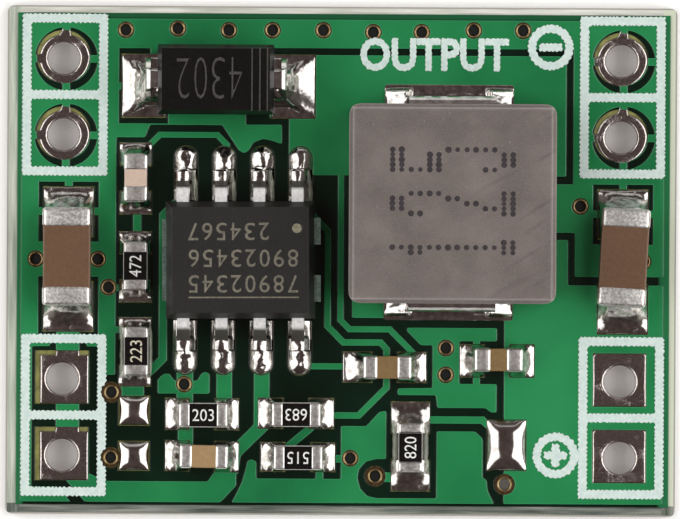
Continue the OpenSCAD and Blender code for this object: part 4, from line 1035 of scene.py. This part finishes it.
def ragged(mesh, top, bottom, step_mm=0.03, wander_mm=0.019, rounds=14):
    """Screen print from a mesh's top faces: corners eased, and an outline that follows the
    threads of the screen."""
    bmesh.ops.remove_doubles(mesh, verts=mesh.verts, dist=1e-7)
    limit = max(v.co.z for v in mesh.verts) - 1e-6
    rest = [f for f in mesh.faces if min(v.co.z for v in f.verts) < limit]
    bmesh.ops.delete(mesh, geom=rest, context="FACES")
    inner = [e for e in mesh.edges if not e.is_boundary]
    bmesh.ops.delete(mesh, geom=list(mesh.faces), context="FACES_ONLY")
    bmesh.ops.delete(mesh, geom=inner, context="EDGES")
    bmesh.ops.delete(mesh, geom=[v for v in mesh.verts if not v.link_edges], context="VERTS")
    for _ in range(9):
        longer = [e for e in mesh.edges if e.calc_length() > step_mm * MM]
        if not longer:
            break
        bmesh.ops.subdivide_edges(mesh, edges=longer, cuts=1)
    for _ in range(rounds):
        eased = {v: sum((e.other_vert(v).co for e in v.link_edges), Vector()) / len(v.link_edges)
                 for v in mesh.verts}
        for v, co in eased.items():
            v.co = (v.co + co) / 2
    for v in mesh.verts:
        x, y = v.co.x / MM, v.co.y / MM
        fine = noise.noise(Vector((x * 3, y * 3, 3.1)))
        uneven = wander_mm * MM * (1 + 0.7 * noise.noise(Vector((x * 5, y * 5, 8.7))))
        v.co.x += uneven * math.sin(2 * math.pi * y / SCREEN_PITCH + 2.6 * fine)
        v.co.y += uneven * math.sin(2 * math.pi * x / SCREEN_PITCH + 2.6 * fine)
        v.co.z = top
    bmesh.ops.triangle_fill(mesh, edges=list(mesh.edges), use_beauty=True, use_dissolve=False)
    for f in mesh.faces:
        if f.normal.z < 0:
            f.normal_flip()
    made = bmesh.ops.extrude_face_region(mesh, geom=list(mesh.faces))
    for v in made["geom"]:
        if isinstance(v, bmesh.types.BMVert):
            v.co.z = bottom
    face_out(mesh)
    return mesh


silk = merged("silkscreen")
sign_lo, sign_hi = min((spans(g) for g in solids("silkscreen") if spans(g)[0].y > 5 * MM
                        and 5 * MM < spans(g)[0].x < 8 * MM), key=lambda box: box[0].x)
word = lettering("OUTPUT", 1.12 * MM, 4.95 * MM, 0.0, (sign_lo.x - 3.1 * MM, sign_hi.y - 1.02 * MM),
                 INK_TOP - 0.002 * MM, bold=0.035)
ink_base = LAMINATE_TOP + 0.04 * MM
ragged(silk, INK_TOP, ink_base)
join(silk, ragged(word, INK_TOP, ink_base, wander_mm=0.012, rounds=3))
piece("screen_print", silk, "ink", ("silkscreen",))


def mark(name, rows, finish):
    """One piece from several separate marks."""
    mesh = bmesh.new()
    for row in rows:
        join(mesh, row)
    piece(name, mesh, finish)


def spaced(text, height, width, pitch, turn, at, z, bold=0.0):
    """Marks of one figure each, evenly spaced along a line that starts at a point."""
    rows = []
    for k, figure in enumerate(text):
        spot = (at[0] + math.cos(turn) * k * pitch, at[1] + math.sin(turn) * k * pitch)
        rows.append(lettering(figure, height, width, turn, spot, z, bold=bold))
    return rows


ic_lo, ic_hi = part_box("controller_body")
ic_mid = (ic_lo + ic_hi) / 2
ic_turn = math.pi + math.radians(0.4)
burnt_z = ic_hi.z + MARK_RISE
rows = []
for text, start, y in (("234567", 0.78, 0.95), ("89023456", 1.75, 0.07), ("78902345", 1.75, -0.78)):
    at = (ic_mid.x + start * MM, ic_mid.y + y * MM)
    rows += spaced(text, 0.58 * MM, 0.34 * MM, 0.47 * MM, ic_turn, at, burnt_z)
line = bmesh.new()
place = standing(ic_mid.x + 0.12 * MM, ic_mid.y - 1.24 * MM, burnt_z, ic_turn - math.pi)
rounded_block(line, place, (3.66 * MM, 0.05 * MM, MARK_THICK), 0.001 * MM, 1)
rows.append(line)
mark("controller_marks", rows, "burnt")

dot = bmesh.new()
place = standing(ic_mid.x + 1.87 * MM, ic_mid.y + 1.06 * MM, ic_hi.z - 0.026 * MM)
bmesh.ops.create_cone(dot, cap_ends=True, segments=32, radius1=0.16 * MM, radius2=0.16 * MM,
                      depth=0.006 * MM, matrix=place)
mark("pin_one_dot", [dot], "dull_mark")

rect_lo, rect_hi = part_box("rectifier_body")
rect_z = rect_hi.z + MARK_RISE
rect_mid = (rect_lo + rect_hi) / 2
rows = spaced("4302", 1.38 * MM, 0.42 * MM, 0.58 * MM, math.pi,
              (rect_mid.x + 0.66 * MM, rect_mid.y + 0.04 * MM), rect_z, -0.022)
for offset in (1.2, 1.46, 1.71):
    bar = bmesh.new()
    place = standing(rect_mid.x + offset * MM, rect_mid.y, rect_z)
    rounded_block(bar, place, (0.045 * MM, 2.1 * MM, MARK_THICK), 0.001 * MM, 1)
    rows.append(bar)
mark("rectifier_marks", rows, "faint")

RESISTOR_CODES = [
    ("loop_resistor", "472", 90, "pale_mark"), ("lower_resistor", "223", 90, "tan_mark"),
    ("clock_resistor", "203", 0, "pale_mark"), ("enable_resistor_a", "683", 180, "pale_mark"),
    ("enable_resistor_b", "515", 180, "pale_mark"), ("upper_resistor", "820", 90, "pale_mark"),
]
for name, code, turn, finish in RESISTOR_CODES:
    lo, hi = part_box(name + "_coat")
    mid = (lo + hi) / 2
    row = lettering(code, 0.4 * MM, 0.72 * MM, math.radians(turn), (mid.x, mid.y), hi.z + MARK_RISE)
    mark(name + "_code", [row], finish)


# ---- Dotted figures on the inductor ----

FIGURES = {"1": ("00100", "01100", "00100", "00100", "00100", "00100", "01110"),
           "2": ("01110", "10001", "00001", "00010", "00100", "01000", "11111"),
           "5": ("11111", "10000", "11110", "00001", "00001", "10001", "01110")}


def dot_field(name, points, radius, thickness, finish):
    """Small discs at points, made by a node tree with named sizes."""
    seeds = bpy.data.meshes.new(name)
    seeds.from_pydata([tuple(p) for p in points], [], [])
    made = placed(name, seeds)
    tree = bpy.data.node_groups.new(name, "GeometryNodeTree")
    tree.interface.new_socket("Geometry", in_out="INPUT", socket_type="NodeSocketGeometry")
    sizes = {}
    for label, value in (("Dot Radius", radius), ("Dot Thickness", thickness)):
        socket = tree.interface.new_socket(label, in_out="INPUT", socket_type="NodeSocketFloat")
        sizes[socket.identifier] = value
    tree.interface.new_socket("Geometry", in_out="OUTPUT", socket_type="NodeSocketGeometry")
    source = node(tree, "NodeGroupInput")
    disc = node(tree, "GeometryNodeMeshCylinder", Vertices=10, Radius=source.outputs["Dot Radius"],
                Depth=source.outputs["Dot Thickness"])
    # each disc is between 0.8 and 1.12 of the full size
    size = node(tree, "FunctionNodeRandomValue", {"data_type": "FLOAT"}, i2=0.8, i3=1.12, Seed=4)
    spots = node(tree, "GeometryNodeMeshToPoints", Mesh=source.outputs["Geometry"])
    discs = node(tree, "GeometryNodeInstanceOnPoints", Points=spots, Instance=disc, Scale=size)
    real = node(tree, "GeometryNodeRealizeInstances", Geometry=discs)
    paint = node(tree, "GeometryNodeSetMaterial", Geometry=real, Material=FINISHES[finish])
    node(tree, "NodeGroupOutput", Geometry=paint)
    modifier = made.modifiers.new("dots", "NODES")
    modifier.node_group = tree
    for identifier, value in sizes.items():
        modifier[identifier] = value
    bpy.context.view_layer.update()
    graph = bpy.context.evaluated_depsgraph_get()
    plain = bpy.data.meshes.new_from_object(made.evaluated_get(graph))
    made.modifiers.clear()
    made.data = plain
    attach(made, "root")
    return made


coil_lo, coil_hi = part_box("inductor_body")
coil_mid = (coil_lo + coil_hi) / 2
pitch = Vector((0.614 * MM, 0.165 * MM))
dots = []
for k, figure in enumerate("125"):
    for row, cells in enumerate(FIGURES[figure]):
        for column, cell in enumerate(cells):
            if cell == "0":
                continue
            for twin in (-0.5, 0.5):
                dots.append(Vector((
                    coil_mid.x + (row - 3) * pitch.x + twin * 0.3 * MM,
                    coil_mid.y + (k - 1) * 1.45 * MM + (column - 2) * pitch.y,
                    coil_hi.z + 0.001 * MM)))
figures = dot_field("inductor_figures", dots, 0.1 * MM, MARK_THICK, "soot")


# ---- Floor, light and camera ----

def floor():
    """White paper under the board. It keeps the board's shadow, which a painted glow beyond the
    board's outline lightens.
    """
    data = bpy.data.meshes.new("floor")
    half, low = 1.5, -2e-6
    corners = [(-half, -half, low), (half, -half, low), (half, half, low), (-half, half, low)]
    data.from_pydata(corners, [], [(0, 1, 2, 3)])
    made = placed("floor", data)
    mat, tree, place, shader = blank("white_paper_floor")
    path = node(tree, "LightPath").outputs
    seen = path["Is Camera Ray"]
    for ray in ("Is Glossy Ray", "Is Transmission Ray"):
        seen = node(tree, "Math", LARGER, i0=seen, i1=path[ray])
    # painted light: the paper glows more beyond the board's outline, lightening the board's shadow
    # there, and less under the board, so what shows through the holes stays in shade
    xyz = node(tree, "SeparateXYZ", Vector=place).outputs
    far = []
    for axis, edge in zip("XY", cad_bounds[1] / MM):
        away = node(tree, "Math", UNSIGNED, i0=xyz[axis])
        far.append(node(tree, "MapRange", Value=away, From_Min=edge - 0.1, From_Max=edge + 0.3,
                        To_Min=0.076, To_Max=0.42))
    glow_beyond_board = node(tree, "Math", LARGER, i0=far[0], i1=far[1])
    glow = node(tree, "Math", PRODUCT, i0=seen, i1=glow_beyond_board)
    wire(tree, shader, Base_Color="EFEFEF", Roughness=0.9, Specular_IOR_Level=0.0,
         Emission_Strength=glow, Emission_Color="FFFDF6")
    data.materials.append(mat)


def softbox(name, azimuth, elevation, size, radiance, distance=0.4):
    """A panel of even light that faces the object."""
    light = bpy.data.lights.new(name, "AREA")
    light.shape = "RECTANGLE"
    light.size, light.size_y = size
    light.energy = radiance * math.pi * size[0] * size[1]
    made = placed(name, light)
    a, e = math.radians(azimuth), math.radians(elevation)
    way = Vector((math.cos(a) * math.cos(e), math.sin(a) * math.cos(e), math.sin(e)))
    made.location = way * distance
    made.rotation_euler = made.location.to_track_quat("Z", "Y").to_euler()


def studio():
    """Two broad softboxes over the ends, a weak panel at the far side, and a dim room."""
    softbox("left_softbox", 180, 43, (0.52, 0.44), 1.95)
    softbox("right_softbox", 0, 43, (0.52, 0.44), 2.3)
    softbox("far_panel", 90, 30, (0.3, 0.12), 0.6)
    world = bpy.data.worlds.new("studio")
    bpy.context.scene.world = world
    world.use_nodes = True
    tree = world.node_tree
    tree.nodes.clear()
    way = node(tree, "TexCoord").outputs["Generated"]
    part = node(tree, "SeparateXYZ", Vector=way).outputs
    # a pale room to the left and right, a dim one before and behind
    side = node(tree, "Math", UNSIGNED, i0=part["X"])
    horizon = node(tree, "ValToRGB", tones("46413F", "A9A79E", low=0.35, high=0.75), Fac=side)
    upward = node(tree, "MapRange", Value=part["Z"], From_Min=0.2, From_Max=0.7)
    sky = node(tree, "Mix", COLORS, i0=upward, i6=horizon, i7="4F423F")
    back = node(tree, "Background", Color=sky)
    node(tree, "OutputWorld", Surface=back)


def camera():
    """Straight above, with a long lens, turned a third of a degree."""
    data = bpy.data.cameras.new("camera")
    made = placed("camera", data)
    distance = 0.5
    field = 22.6 * MM
    data.sensor_width = 36
    data.lens = 36 * distance / field
    data.clip_start, data.clip_end = 0.05, 10
    made.location = (-0.045 * MM, 0.053 * MM, FOIL + distance)
    made.rotation_euler = (0, 0, math.radians(0.32))
    bpy.context.scene.camera = made


floor()
studio()
camera()
bpy.context.scene.view_settings.view_transform = "Standard"
